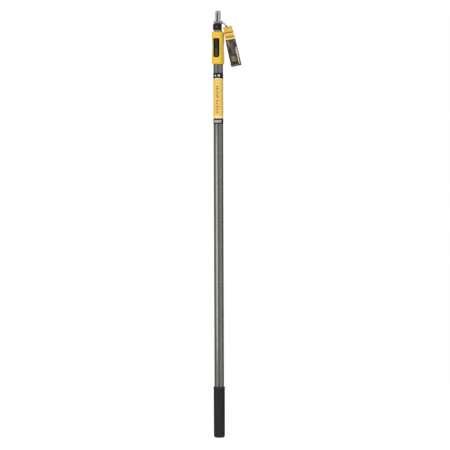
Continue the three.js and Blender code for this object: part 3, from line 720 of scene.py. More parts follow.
def tag_space(M):
    """x across the tag and y along it, in millimetres from its middle."""
    d = M.n("ShaderNodeVectorMath", operation="SUBTRACT")
    M.link(M.P, d.inputs[0])
    d.inputs[1].default_value = tuple(at(TAG_U, TAG_N, TAG_Z))
    ct, st = math.cos(TAG_TILT), math.sin(TAG_TILT)
    ex, ey = U * ct + ZV * st, -U * st + ZV * ct
    out = []
    for e in (ex, ey):
        k = M.n("ShaderNodeVectorMath", operation="DOT_PRODUCT")
        M.link(d.outputs[0], k.inputs[0])
        k.inputs[1].default_value = tuple(e)
        out.append(k.outputs["Value"])
    return out


def make_tag_front():
    """Generic print: a yellow head with plain bands, and a dark lower field with soft blocks and a pale slanting strip."""
    M = Mat("tag_front")
    x, y = tag_space(M)
    soft = M.noise(M.P, 0.25, 3.0, 0.5)
    col = M.ramp(soft, [(0.3, lin("#e2b640")), (0.7, lin("#f0c55a"))])
    # head: warm band, light field, olive field, pale rule
    y0 = y
    y = M.math("ADD", y, M.math("MULTIPLY", x, 0.05))
    wave = M.math("ADD", y, M.math("MULTIPLY", M.math("SINE", M.math("MULTIPLY", x, 0.42)), 0.9))
    col = M.mix(M.math("MULTIPLY", box_mask(M, x, wave, -14.6, 13.6, 40.4, 44.6, 0.35), 0.95), col, lin("#b05d06"))
    col = M.mix(box_mask(M, x, y, -14.4, 14.4, 34.4, 39.6, 0.6), col, lin("#fbc763"))
    col = M.mix(box_mask(M, x, y, -12.4, 14.6, 25.4, 32.6, 0.5), col, lin("#b9972a"))
    col = M.mix(box_mask(M, x, y, -6.0, 7.0, 30.0, 31.8, 0.4), col, lin("#b27f12"))
    col = M.mix(box_mask(M, x, y, -20, 20, 21.2, 24.2, 0.4), col, lin("#efdd86"))
    # lower field
    low = M.remap(y, 21.15, 20.9, 0.0, 1.0)
    cells = M.voronoi(M.scaled(M.join(x, y, 0.0), (0.11, 0.055, 1.0)), 1.0, "F1", "Color")
    cv = M.n("ShaderNodeSeparateColor")
    M.link(cells, cv.inputs[0])
    patch = M.math("ADD", M.math("MULTIPLY", cv.outputs[0], 0.55), M.math("MULTIPLY", M.noise(M.join(x, y, 0.0), 0.22, 4.0, 0.6), 0.45))
    field = M.ramp(patch, [(0.22, lin("#1c1712")), (0.42, lin("#40352f")), (0.58, lin("#5d4d47")), (0.72, lin("#6f6454")), (0.85, lin("#4a4b42"))])
    field = M.mix(box_mask(M, x, y, -11.0, -5.2, 2.0, 20.0, 0.8), field, lin("#8b7460"))
    field = M.mix(M.math("MULTIPLY", box_mask(M, x, y, -10.5, 2.5, -46.0, -30.0, 1.5), 0.8), field, lin("#87775a"))
    field = M.mix(M.math("MULTIPLY", box_mask(M, x, y, -4.0, 5.0, -22.0, -8.0, 1.5), 0.6), field, lin("#6a5e5c"))
    # pale strip that leans towards the right-hand edge, warmer at its foot
    lean = M.math("ADD", x, M.math("MULTIPLY", M.math("ADD", y0, 20.0), -0.010))
    strip = M.math("MULTIPLY", box_mask(M, lean, y0, 9.2, 12.4, -56.5, -3.0, 0.5), 1.0)
    tone = M.ramp(M.remap(y0, 0.0, -60.0, 0.0, 1.0), [(0.0, lin("#8f8984")), (0.2, lin("#d6cec6")), (0.55, lin("#d8c6ac")), (0.8, lin("#dfbf8c")), (1.0, lin("#a98f68"))])
    field = M.mix(strip, field, tone)
    field = M.mix(box_mask(M, lean, y0, 13.0, 14.2, -40.0, 16.0, 0.5), field, lin("#7d766a"))
    # dark foot and borders
    field = M.mix(M.math("MULTIPLY", box_mask(M, x, y0, -20, 8.6, -56.5, -47.0, 0.8), 0.85), field, lin("#2b2a33"))
    field = M.mix(box_mask(M, x, y0, -12.5, 6.0, -59.6, -56.4, 0.6), field, lin("#77777a"))
    field = M.mix(M.math("MAXIMUM", M.remap(x, -12.9, -13.5, 0.0, 1.0), M.remap(x, 13.7, 14.2, 0.0, 0.9)), field, lin("#1f1408"))
    field = M.mix(box_mask(M, x, y, -20, 20, 18.4, 21.4, 0.4), field, lin("#22170c"))
    y = y0
    col = M.mix(low, col, field)
    scr = M.scratches(M.scaled(M.P, (1, 1, 0.3)), 0.16, 0.004, 0.58)
    col = M.mix(M.math("MULTIPLY", scr, 0.10), col, lin("#d8d0c0"))
    M.set("Base Color", col)
    M.set("Roughness", M.remap(M.noise(M.P, 0.8, 3.0), 0.3, 0.7, 0.24, 0.34))
    M.set("Specular IOR Level", 0.5)
    M.set("Normal", M.bump(M.noise(M.P, 0.5, 4.0, 0.55), 0.06))
    return M.m


def make_tag_back():
    M = Mat("tag_back")
    x, y = tag_space(M)
    fibre = M.noise(M.P, 2.5, 4.0, 0.6)
    col = M.ramp(fibre, [(0.3, lin("#e9e4d6")), (0.7, lin("#f3efe4"))])
    col = M.mix(M.remap(y, 40.0, 40.3, 0.0, 1.0), col, lin("#e7bb49"))
    col = M.mix(box_mask(M, x, y, -20, 20, 37.4, 39.0, 0.2), col, lin("#2b2119"))
    for k in range(5):
        yy = 24.0 - 14.0 * k
        col = M.mix(M.math("MULTIPLY", box_mask(M, x, y, -11.5, 11.5, yy - 4.0, yy + 4.0, 0.2), 0.5), col, lin("#cfc8b6"))
    M.set("Base Color", col)
    M.set("Roughness", M.remap(fibre, 0.3, 0.7, 0.38, 0.5))
    M.set("Normal", M.bump(M.noise(M.P, 0.9, 4.0, 0.55), 0.05))
    return M.m


def make_tag_edge():
    M = Mat("tag_edge")
    fibre = M.noise(M.scaled(M.P, (6, 6, 1.5)), 1.0, 4.0, 0.7)
    M.set("Base Color", M.ramp(fibre, [(0.3, lin("#cfc7b4")), (0.7, lin("#efe9db"))]))
    M.set("Roughness", M.remap(fibre, 0.3, 0.7, 0.75, 0.9))
    M.set("Normal", M.bump(fibre, 0.05))
    return M.m


TAG_FRONT, TAG_BACK, TAG_EDGE = make_tag_front(), make_tag_back(), make_tag_edge()

# ------------------------------------------------------------------ the cord first
CORD_POINTS = [
    (25.9, 15.3, 1231.1), (26.5, 15.0, 1230.0), (26.95, 14.2, 1229.0), (27.1, 12.9, 1228.45), (27.05, 11.5, 1228.3), (26.8, 10.1, 1228.4),
    (25.9, 8.8, 1229.1), (24.0, 6.9, 1231.5), (21.6, 4.6, 1234.9), (19.2, 2.3, 1238.2), (16.8, 0.1, 1240.8), (14.5, -2.0, 1242.1), (11.9, -4.3, 1242.8),
]
for i in range(11):
    a = math.radians(-39.7 - i * 22.6)
    CORD_POINTS.append((11.15 * math.cos(a), 11.15 * math.sin(a), 1243.0))
CORD_POINTS += [(3.2, 11.95, 1242.95), (6.9, 12.7, 1242.9), (10.2, 13.3, 1243.0), (13.2, 13.7, 1242.9), (16.2, 14.1, 1242.1), (19.0, 14.5, 1240.8), (21.4, 14.9, 1239.1), (23.2, 15.2, 1237.1), (24.2, 15.35, 1235.3)]


def catmull(points, per=24):
    p = [np.array(q, float) for q in points]
    p = [2 * p[0] - p[1]] + p + [2 * p[-1] - p[-2]]
    out = []
    for i in range(1, len(p) - 2):
        p0, p1, p2, p3 = p[i - 1 : i + 3]
        d0, d1, d2 = (max(np.linalg.norm(b - a) ** 0.5, 1e-4) for a, b in ((p0, p1), (p1, p2), (p2, p3)))
        t1 = ((p1 - p0) / d0 - (p2 - p0) / (d0 + d1) + (p2 - p1) / d1) * d1
        t2 = ((p2 - p1) / d1 - (p3 - p1) / (d1 + d2) + (p3 - p2) / d2) * d1
        for k in range(per):
            t = k / per
            out.append(p1 * (2 * t**3 - 3 * t * t + 1) + t1 * (t**3 - 2 * t * t + t) + p2 * (-2 * t**3 + 3 * t * t) + t2 * (t**3 - t * t))
    out.append(p[-2])
    return np.array(out)


def resample(line, step):
    d = np.concatenate([[0], np.cumsum(np.linalg.norm(np.diff(line, axis=0), axis=1))])
    n = max(2, int(round(d[-1] / step)) + 1)
    t = np.linspace(0, d[-1], n)
    return np.stack([np.interp(t, d, line[:, k]) for k in range(3)], 1), d[-1]


def frames(line):
    """Tangents and a steady pair of side directions along a line."""
    t = np.gradient(line, axis=0)
    t /= np.linalg.norm(t, axis=1)[:, None]
    a = np.cross(t[0], [0, 0, 1.0])
    a /= np.linalg.norm(a)
    sides = []
    for i in range(len(line)):
        a = a - t[i] * (a @ t[i])
        a /= np.linalg.norm(a)
        sides.append(a.copy())
    a = np.array(sides)
    return t, a, np.cross(t, a)


def tube(line, r, sides=10, shell=None, mat=0, taper=0.0):
    s = shell or Shell()
    t, a, b = frames(line)
    ang = np.arange(sides) * 2 * math.pi / sides
    rings = []
    for i, p in enumerate(line):
        rings.append(s.ring([p + (a[i] * math.cos(w) + b[i] * math.sin(w)) * r for w in ang]))
    for q, w in zip(rings, rings[1:]):
        s.bridge(q, w, mat=mat)
    for ring, p, d in ((rings[0], line[0], -t[0]), (rings[-1], line[-1], t[-1])):
        mid = s.ring([p + d * r * 0.5])
        s.bridge(ring, mid, mat=mat)
    return s


cord_line, cord_length = resample(catmull([at(*p) for p in CORD_POINTS]), 0.25)
rope = Shell()
ct, ca, cb = frames(cord_line)
along = np.linspace(0, cord_length, len(cord_line))
STRAND_OFF, STRAND_R, LAY = 0.44, 0.37, 4.2
for k in range(3):
    w = along / LAY * 2 * math.pi + k * 2 * math.pi / 3
    strand = cord_line + (ca * np.cos(w)[:, None] + cb * np.sin(w)[:, None]) * STRAND_OFF
    tube(strand, STRAND_R, 9, rope)
cord = make("tag_cord_rope", rope, CORD, sharp=70)
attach(cord, "inner_pole")
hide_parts("tag_cord")

# the knot: a tight overhand form with two short cut ends
KNOT = at(25.0, 15.4, 1233.2)


def build_knot():
    t = np.linspace(0, 2 * math.pi, 181)
    R, r = 1.15, 0.62
    p = np.stack([(R + r * np.cos(3 * t)) * np.cos(2 * t), (R + r * np.cos(3 * t)) * np.sin(2 * t), r * 1.15 * np.sin(3 * t)], 1)
    s = Shell()
    tt = np.gradient(p, axis=0)
    tt /= np.linalg.norm(tt, axis=1)[:, None]
    rings = []
    for i, q in enumerate(p[:-1]):
        a = np.cross(tt[i], q - np.array([0, 0, 0.001]))
        a /= np.linalg.norm(a)
        b = np.cross(tt[i], a)
        rings.append(s.ring([q + (a * math.cos(w) + b * math.sin(w)) * 0.74 for w in np.arange(12) * 2 * math.pi / 12]))
    for i in range(len(rings)):
        s.bridge(rings[i], rings[(i + 1) % len(rings)])
    # the cut ends and the two runs that enter the knot
    tube(np.array([[-0.6, -0.4, -0.6], [-1.6, -1.1, -1.5], [-2.3, -1.5, -2.5], [-2.7, -1.4, -3.4]]), 0.62, 12, s)
    tube(np.array([[-0.4, 0.6, -0.7], [-0.9, 1.1, -1.9], [-1.1, 1.5, -3.0]]), 0.62, 12, s)
    o = make("cord_knot_tied", s, CORD, sharp=80)
    rm = o.modifiers.new("remesh", "REMESH")
    rm.mode = "VOXEL"
    rm.voxel_size = 0.13 * MM
    bake_modifiers(o)
    sm = o.modifiers.new("smooth", "SMOOTH")
    sm.factor = 0.5
    sm.iterations = 2
    bake_modifiers(o)
    clean(o, 80)
    o.data.materials.clear()
    o.data.materials.append(CORD)
    run = cord_line[2] - cord_line[-3]
    run /= np.linalg.norm(run)
    zx = Vector(run)
    zz = Vector(N)
    yy = zz.cross(zx).normalized()
    zz = zx.cross(yy).normalized()
    rot = Matrix((zx, yy, zz)).transposed().to_4x4()
    o.data.transform(Matrix.Translation(Vector(KNOT) * MM) @ rot)
    return o


knot = build_knot()
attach(knot, "inner_pole")
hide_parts("cord_knot")
[tuple(p * MM) for p in cord_line]

# ------------------------------------------------------------------ outer pole
SEG = 144


def place(o, body, nodes):
    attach(o, body)
    if nodes:
        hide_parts(*([nodes] if isinstance(nodes, str) else nodes))
    return o


profile = rounded([(OUTER_RI, 600, 0), (OUTER_RI, OUTER_Z0), (OUTER_R, OUTER_Z0), (OUTER_R, OUTER_Z1), (OUTER_RI, OUTER_Z1), (OUTER_RI, 600, 0)], 0.25, 3)
tube_obj = make("outer_tube_drawn", lathe(profile, SEG), GREY_TUBE)
for a in (RIVET_TURN, -RIVET_TURN):
    boolean(tube_obj, bar_y(1.9, 10, 20, 0, RIVET_Z, 32, a))
place(tube_obj, "outer_pole", "outer_tube")

# grip: dipped rubber, open at the top, closed flat at the butt
arc = [(9.6 + 7 * math.cos(a), 7 + 7 * math.sin(a)) for a in np.linspace(-math.pi / 2, 0, 14)]
grip = [(0.0, 0.0), (4.0, 0.0), (8.6, 0.0)] + arc + rounded([
    (16.6, 7.6), (16.6, 11.4, 0.4), (16.05, 12.1, 0.4), (16.05, 13.6, 0.4), (16.6, 14.3, 0.5), (16.85, 136.2, 0.4), (16.3, 136.9, 0.4), (16.3, 137.9, 0.4),
    (16.95, 138.7, 0.4), (17.0, 143.9, 0.4), (16.4, 144.7, 0.4), (16.4, 145.6, 0.4), (17.2, 146.5, 0.5), (17.25, 151.2, 1.0), (16.6, GRIP_TOP, 0.8), (14.6, GRIP_TOP, 0.3),
    (14.6, 3.5, 0.3), (0.0, 3.5)], 0.4, 5)
grip_obj = make("hand_grip_rubber", lathe(grip, SEG), RUBBER, sharp=50)
place(grip_obj, "outer_pole", "hand_grip")

# printed film sleeve with its overlap at the back


def label_wobble(ang, r, z):
    """A strip of double film at the back of the sleeve, and faint ripples."""
    if r < LABEL_RI + 0.1:
        return 0.0
    behind = np.abs((ang - (math.pi / 2 + 0.2) + math.pi) % (2 * math.pi) - math.pi)
    lap = 0.14 / (1 + np.exp((behind - 0.24) * 90))
    return lap + 0.02 * np.sin(ang * 5 + z * 0.05) * np.sin(z * 0.11)


lp = rounded([(LABEL_RI, 1000, 0), (LABEL_RI, LABEL_Z0), (LABEL_R - 0.1, LABEL_Z0), (LABEL_R - 0.1, LABEL_Z1), (LABEL_RI, LABEL_Z1), (LABEL_RI, 1000, 0)], 0.12, 3)
fine_lp = []
for p, q in zip(lp, lp[1:]):
    n = max(1, int(abs(q[1] - p[1]) / 3.0)) if p[0] > LABEL_RI + 0.1 and q[0] > LABEL_RI + 0.1 else 1
    fine_lp += [(p[0] + (q[0] - p[0]) * i / n, p[1] + (q[1] - p[1]) * i / n) for i in range(n)]
fine_lp.append(lp[-1])
place(make("label_sleeve_film", lathe(fine_lp, 192, wobble=label_wobble), LABEL, sharp=60), "outer_pole", "label_sleeve")

# ------------------------------------------------------------------ lock housing
H_TOP_E, H_BOT_E = 4.2, 3.6


def housing_outline(ins, steps=18, flat=8, side=12):
    """The housing's section drawn in by ins: a closed ring with a fixed count, starting at the middle of the front."""
    hx, f, b, r = H_HX - ins, H_FRONT - ins, H_BACK - ins, H_RC - ins
    pts = []

    def run(p, q, n):
        for i in range(n):
            pts.append((p[0] + (q[0] - p[0]) * i / n, p[1] + (q[1] - p[1]) * i / n))

    def corner(cx, cy, a0):
        for i in range(steps):
            a = a0 + (i / steps) * math.pi / 2
            pts.append((cx + r * math.cos(a), cy + r * math.sin(a)))

    def parted(lo, hi, back=False):
        """Stations along a flat side, closer together at the mould's parting line."""
        ys = list(np.linspace(lo, -0.6, side // 2)) + [-0.4, -0.26, -0.14, 0.0, 0.14, 0.26, 0.4] + list(np.linspace(0.6, hi, side // 2 + 1))
        return ys[:0:-1] if back else ys[:-1]

    run((0, -f), (hx - r, -f), flat)
    corner(hx - r, -f + r, -math.pi / 2)
    pts.extend((hx, y) for y in parted(-f + r, b - r))
    corner(hx - r, b - r, 0)
    run((hx - r, b), (-hx + r, b), flat * 2)
    corner(-hx + r, b - r, math.pi / 2)
    pts.extend((-hx, y) for y in parted(-f + r, b - r, True))
    corner(-hx + r, -f + r, math.pi)
    run((-hx + r, -f), (0, -f), flat)
    return np.array(pts)


def build_housing():
    s = Shell()
    base = housing_outline(0.0)
    polar = np.arctan2(base[:, 1], base[:, 0])

    def ring(ins, z, least=0.0):
        p = housing_outline(ins)
        far = np.hypot(p[:, 0], p[:, 1])
        p = p * np.maximum(1.0, least / far)[:, None]
        k = (H_HX - scallop(z)) / H_HX
        part = 0.16 * np.clip((0.26 - np.abs(p[:, 1])) / 0.16, 0, 1) * (np.abs(p[:, 0]) > 8)
        return s.ring(np.stack([p[:, 0] * k - np.sign(p[:, 0]) * part, p[:, 1], np.full(len(p), z)], 1))

    def circle(r, z):
        return s.ring(np.stack([r * np.cos(polar), r * np.sin(polar), np.full(len(polar), z)], 1))

    rings = []
    # bottom: bore, flat ring, rounded edge
    for r, z in rounded([(14.1, 1150, 0), (14.1, 1138.4, 0.1), (14.5, 1138.4, 0.1), (14.5, H_Z0, 0.25), (14.9, H_Z0, 0)], 0.2, 3):
        rings.append(circle(r, z))
    e = H_BOT_E
    for k in range(11):
        a = math.pi / 2 * k / 10
        rings.append(ring(e * (1 - math.sin(a)), H_Z0 + e * (1 - math.cos(a)), 14.98 + 0.01 * k))
    z0, z1 = H_Z0 + e, H_Z1 - H_TOP_E
    rings.append(ring(0, z0 + 0.3))
    for k in range(1, 60):
        rings.append(ring(0, z0 + 0.3 + (z1 - z0 - 0.6) * k / 60))
    rings.append(ring(0, z1 - 0.3))
    e = H_TOP_E
    for k in range(12):
        a = math.pi / 2 * k / 11
        rings.append(ring(e * (1 - math.cos(a)), z1 + e * math.sin(a), 13.1 - 0.01 * k))
    for r, z in rounded([(12.92, H_Z1, 0), (12.5, H_Z1, 0.25), (12.5, 1213.4, 0.1), (14.1, 1213.4, 0.1), (14.1, 1150, 0)], 0.2, 3):
        rings.append(circle(r, z))
    for a, b in zip(rings, rings[1:]):
        s.bridge(a, b)
    s.bridge(rings[-1], rings[0])
    o = make("lock_housing_moulded", s, YELLOW, sharp=40)

    # the window: its walls, and a rounded lip that follows the front surface
    lip, c = 0.6, Shell()
    loops = []
    for h in (-3.0,):
        q = window_outline(WINDOW_HX + lip, WINDOW_Z0 - lip, WINDOW_Z1 + lip, WINDOW_RTOP + lip, WINDOW_RBOT + lip)
        loops.append(c.ring([(x, front_y(x, z) + h, z) for x, z in q]))
    for k in range(9):
        a = math.pi / 2 * k / 8
        w = lip * (1 - math.sin(a))
        q = window_outline(WINDOW_HX + w, WINDOW_Z0 - w, WINDOW_Z1 + w, WINDOW_RTOP + w, WINDOW_RBOT + w)
        loops.append(c.ring([(x, front_y(x, z) - 0.02 + lip * (1 - math.cos(a)), z) for x, z in q]))
    q = window_outline(WINDOW_HX, WINDOW_Z0, WINDOW_Z1, WINDOW_RTOP, WINDOW_RBOT)
    loops.append(c.ring([(x, -9.0, z) for x, z in q]))
    for a, b in zip(loops, loops[1:]):
        c.bridge(a, b)
    c.face(loops[0])
    c.face(loops[-1][::-1])
    boolean(o, c, sharp=40)
    for a in (RIVET_TURN, -RIVET_TURN):
        boolean(o, to_y(lathe([(0, 10), (1.9, 10), (1.9, 17.2), (3.7, 17.2), (3.7, 18.0), (4.2, 19.4), (4.2, 30), (0, 30)], 48), 0, RIVET_Z, a), sharp=40)
    boolean(o, to_y(lathe([(0, 10), (1.6, 10), (1.6, 16.8), (3.2, 16.8), (3.2, 18.3), (3.6, 19.4), (3.6, 30), (0, 30)], 48), 0, 1206), sharp=40)
    return o


place(build_housing(), "outer_pole", "lock_housing")


def rivet(name, head_r, shank_r, floor, end, dome, z, turn, node, mat=STEEL):
    prof = [(0, end)] + rounded([(0.3, end, 0), (shank_r, end, 0.15), (shank_r, floor, 0.1), (head_r, floor, 0.12), (head_r, floor + 0.45, 0.2)], 0.1, 3)[1:]
    for k in range(1, 10):
        a = math.pi / 2 * k / 10
        prof.append((0.55 + (head_r - 0.55) * math.cos(a), floor + 0.45 + (dome - 0.45) * math.sin(a)))
    prof += rounded([(0.55, floor + dome, 0), (0.5, floor + dome - 0.35, 0.1), (0.2, floor + dome - 0.4, 0)], 0.1, 2) + [(0, floor + dome - 0.4)]
    o = make(name, to_y(lathe(prof, 48), 0, z, turn), mat, sharp=45)
    return place(o, "outer_pole", node)


rivet("housing_rivet_a", 3.3, 1.55, 17.5, 12.95, 1.3, RIVET_Z, RIVET_TURN, "housing_rivet_1")
rivet("housing_rivet_b", 3.3, 1.55, 17.5, 12.95, 1.3, RIVET_Z, -RIVET_TURN, "housing_rivet_2")


def build_screw():
    prof = [(0, 13.0)] + rounded([(0.3, 13.0, 0), (1.25, 13.0, 0.15), (1.25, 17.1, 0.1), (2.8, 17.1, 0.12), (2.8, 17.5, 0.2)], 0.1, 3)[1:]
    for k in range(1, 9):
        a = math.pi / 2 * k / 8
        prof.append((2.8 * math.cos(a), 17.5 + 0.8 * math.sin(a)))
    prof[-1] = (0, 18.3)
    o = make("sleeve_screw_head", to_y(lathe(prof, 48), 0, 1206), STEEL, sharp=45)
    # cross recess
    for w, h in ((1.9, 0.32), (0.32, 1.9)):
        boolean(o, block(-w, w, 17.35, 19, 1206 - h, 1206 + h), sharp=45)
    return place(o, "outer_pole", "sleeve_screw")


build_screw()

# ------------------------------------------------------------------ trigger


def build_bezel():
    s = Shell()
    g = BEZEL_GAP

    def outer(w, drop_):
        q = window_outline(WINDOW_HX - g - w, WINDOW_Z0 + g + w, WINDOW_Z1 - g - w, max(0.5, WINDOW_RTOP - g - w), WINDOW_RBOT - g - w)
        return s.ring([(x, front_y(x, z) + 0.55 + drop_, z) for x, z in q])

    def inner(w, drop_, y=None):
        e = g + BEZEL_END - w
        q = window_outline(BEZEL_HX + w, WINDOW_Z0 + e, WINDOW_Z1 - e, 1.6 + w, 4.0 + w)
        return s.ring([(x, (front_y(x, z) + 0.55 + drop_) if y is None else y, z) for x, z in q])

    rings = []
    q = window_outline(WINDOW_HX - g, WINDOW_Z0 + g, WINDOW_Z1 - g, WINDOW_RTOP - g, WINDOW_RBOT - g)
    rings.append(s.ring([(x, -14.7, z) for x, z in q]))
    f = 0.4
    for k in range(6):
        a = math.pi / 2 * k / 5
        rings.append(outer(f * (1 - math.cos(a)), f * (1 - math.sin(a))))
    # the flange dishes gently towards the opening, then rolls over into it
    dish, roll = 0.5, 0.35
    for k in range(6):
        a = math.pi / 2 * k / 5
        rings.append(inner(roll * (1 - math.sin(a)), dish + roll * (1 - math.cos(a))))
    rings.append(inner(0.0, 0.0, -14.7))
    for a, b in zip(rings, rings[1:]):
        s.bridge(a, b)
    s.bridge(rings[-1], rings[0])
    # the liner takes the near-black matt plastic that paints the shadow in the gap round the lever
    o = make("trigger_bezel_liner", s, PAINTED_SHADE_BLACK, sharp=40)
    boolean(o, bar_x(PIVOT_PIN_R + 0.15, -12, 12, PIVOT_Y, PIVOT_Z), sharp=40)
    return place(o, "outer_pole", "trigger_bezel")


build_bezel()


def slab_y(outline, y0, y1):
    s = Shell()
    a = s.ring([(x, y0, z) for x, z in outline])
    b = s.ring([(x, y1, z) for x, z in outline])
    s.bridge(a, b)
    s.face(a[::-1])
    s.face(b)
    return s


def build_lever():
    p = PIVOT_Z
    face = [(-19.0, p + 2), (-19.06, p), (-19.1, p - 2)]
    side = rounded([(-19.0, p + 3.2, 0), (-20.25, p + 29.2, 0), (-18.2, p + 29.2, 0), (-17.0, p + 2.0, 0), (-16.9, p - 2.0, 0), (-18.3, p - 18, 0),
                    (-18.9, p - 24.2, 0), (-20.75, p - 24.2, 0), (-19.08, p - 2.4, 0)], 0, 2, support=99)
    mid = [(-19.02, p + 1.6), (-19.0, p), ][::-1]
    o = make("trigger_lever_rocker", prism_x(side + mid, -LEVER_HX, LEVER_HX), LEVER, weld=0)
    q = window_outline(LEVER_HX, p - 24.0, p + 29.0, 1.3, 3.5, 7, 1, 1)
    boolean(o, slab_y(q, -30, -10), "INTERSECT")
    o = bevelled(o, 0.42, 4, 40, sharp=50)
    for sgn in (-1, 1):
        x0 = -LEVER_HX + 0.25 if sgn < 0 else LEVER_HX - 1.25
        boolean(o, prism_x([(-18.6, p + 27.6), (-15.2, p + 26.5), (-15.1, p + 2.0), (-15.3, p - 3.0), (-17.2, p - 21.5), (-18.6, p - 22.4), (-18.2, p)], x0, x0 + 1.0), "UNION", sharp=45)
    boolean(o, bar_x(2.4, -LEVER_HX + 0.2, LEVER_HX - 0.2, PIVOT_Y, p, 40), "UNION", sharp=45)
    boolean(o, block(-LEVER_HX + 0.6, LEVER_HX - 0.6, -16.1, -15.15, LOCK_Z - 5.2, LOCK_Z + 5.2), "UNION", sharp=45)
    boolean(o, bar_y(1.9, -16.4, -14, 0, LOCK_Z, 32), sharp=45)
    boolean(o, bar_x(PIVOT_PIN_R + 0.2, -12, 12, PIVOT_Y, p, 40), sharp=45)
    return place(o, "trigger", "trigger_lever")


build_lever()

# ------------------------------------------------------------------ inner pole


def build_inner_tube():
    s = Shell()
    half = math.asin(GROOVE_HX / INNER_R)
    groove = []          # from the left lip across the floor to the right lip, as (x, y)
    lip_y = -math.sqrt(INNER_R**2 - GROOVE_HX**2)
    left = rounded([(-GROOVE_HX - 0.7, -math.sqrt(INNER_R**2 - (GROOVE_HX + 0.7) ** 2), 0), (-GROOVE_HX, lip_y, 0.18), (-GROOVE_HX, -GROOVE_FLOOR, 0.2),
                    (GROOVE_HX, -GROOVE_FLOOR, 0.2), (GROOVE_HX, lip_y, 0.18), (GROOVE_HX + 0.7, -math.sqrt(INNER_R**2 - (GROOVE_HX + 0.7) ** 2), 0)], 0.2, 3, support=0.15)
    groove = np.array(left)
    a0 = math.atan2(groove[0][1], groove[0][0])
    a1 = math.atan2(groove[-1][1], groove[-1][0])
    rest = np.linspace(a1, a0 + 2 * math.pi, 121)[1:-1]
    ring = np.concatenate([groove, np.stack([INNER_R * np.cos(rest), INNER_R * np.sin(rest)], 1)])
    # on the plain circle the groove's points are spread evenly between its lips
    ang = np.concatenate([np.linspace(a0, a1, len(groove)), rest])
    full = np.stack([INNER_R * np.cos(ang), INNER_R * np.sin(ang)], 1)
    bore = np.stack([INNER_RI * np.cos(ang), INNER_RI * np.sin(ang)], 1)

    def level(pts, z, k=1.0, shrink=0.0):
        p = full * (1 - k) + pts * k
        f = (INNER_R - shrink) / INNER_R
        return s.ring(np.stack([p[:, 0] * f, p[:, 1] * f, np.full(len(p), z)], 1))

    rings = [level(ring, INNER_Z0, 1, 0.25), level(ring, INNER_Z0 + 0.25), level(ring, INNER_Z0 + 0.6)]
    for k in range(1, 95):
        rings.append(level(ring, INNER_Z0 + 0.6 + (1213.6 - INNER_Z0 - 0.6) * k / 94))
    for z, k in ((1214.2, 0.97), (1214.8, 0.85), (1215.3, 0.6), (1215.7, 0.3), (1216.0, 0.08), (1216.4, 0.0), (1219, 0.0), (INNER_Z1 - 0.6, 0.0), (INNER_Z1 - 0.3, 0.0)):
        rings.append(level(ring, z, k))
    rings.append(level(ring, INNER_Z1, 0.0, 0.25))

    def inside(z, grow=0.0):
        f = (INNER_RI + grow) / INNER_RI
        return s.ring(np.stack([bore[:, 0] * f, bore[:, 1] * f, np.full(len(bore), z)], 1))

    rings += [inside(INNER_Z1, 0.15), inside(INNER_Z1 - 0.3), inside(700), inside(INNER_Z0 + 0.3), inside(INNER_Z0, 0.15)]
    for a, b in zip(rings, rings[1:]):
        s.bridge(a, b)
    s.bridge(rings[-1], rings[0])
    o = make("inner_tube_grooved", s, BARE, sharp=40, weld=0)
    holes = Shell()
    for k in range(INDEX_STEPS + 1):
        z = LOCK_Z - k * INDEX_PITCH
        holes.grow(to_y(lathe([(0, -14), (INDEX_R + 0.35, -14), (INDEX_R + 0.35, -11.33), (INDEX_R, -11.0), (INDEX_R, -8), (0, -8)], 36), 0, z))
    boolean(o, holes, sharp=35)
    for sgn in (-1, 1):
        boolean(o, bar_x(1.4, 8, 14, 0, TIP_RIVET_Z, 28) if sgn > 0 else bar_x(1.4, -14, -8, 0, TIP_RIVET_Z, 28), sharp=35)
    return place(o, "inner_pole", "inner_tube")


build_inner_tube()


def build_thread():
    """The screw's ridge: one trapezoid section with soft crest corners swept along the helix, tapering in at both ends."""
    half_crest, half_foot, core = 0.94, 1.60, THREAD_MINOR - 0.35
    slope = (half_foot - half_crest) / (THREAD_MAJOR - THREAD_MINOR)
    section = [(core, -half_foot - slope * 0.35), (THREAD_MINOR + 0.12, -half_foot + slope * 0.12), (THREAD_MINOR + 0.9, -half_foot + slope * 0.9), (THREAD_MAJOR - 0.45, -half_crest - slope * 0.45)]
    for k in range(5):
        a = math.pi / 2 * k / 4
        section.append((THREAD_MAJOR - 0.2 + 0.2 * math.sin(a), -half_crest + 0.2 - 0.2 * math.cos(a) - 0.02))
    section.append((THREAD_MAJOR, 0.0))
    section = section + [(r, -z) for r, z in section[-2::-1]]
    start, end = CROWN_BASE + 1.75, TIP_TOP - 2.1
    total = (end - start) / THREAD_PITCH * 2 * math.pi
    steps = int(total / (2 * math.pi) * 132)
    s = Shell()
    rings = []
    for i in range(steps + 1):
        t = total * i / steps
        a = -math.pi / 2 + t + math.radians(150)
        z = start + THREAD_PITCH * t / (2 * math.pi)
        near = min(t, total - t)
        k = min(1.0, near / math.radians(75))
        k = k * k * (3 - 2 * k)
        grow = 0.02 + 0.98 * k
        pts = []
        for r, dz in section:
            rr = core + (r - core) * (0.12 + 0.88 * k) if r > core else core
            pts.append((rr * math.cos(a), rr * math.sin(a), z + dz * (0.35 + 0.65 * grow)))
        rings.append(s.ring(pts))
    for p, q in zip(rings, rings[1:]):
        s.bridge(p, q)
    s.face(rings[0])
    s.face(rings[-1][::-1])
    return s


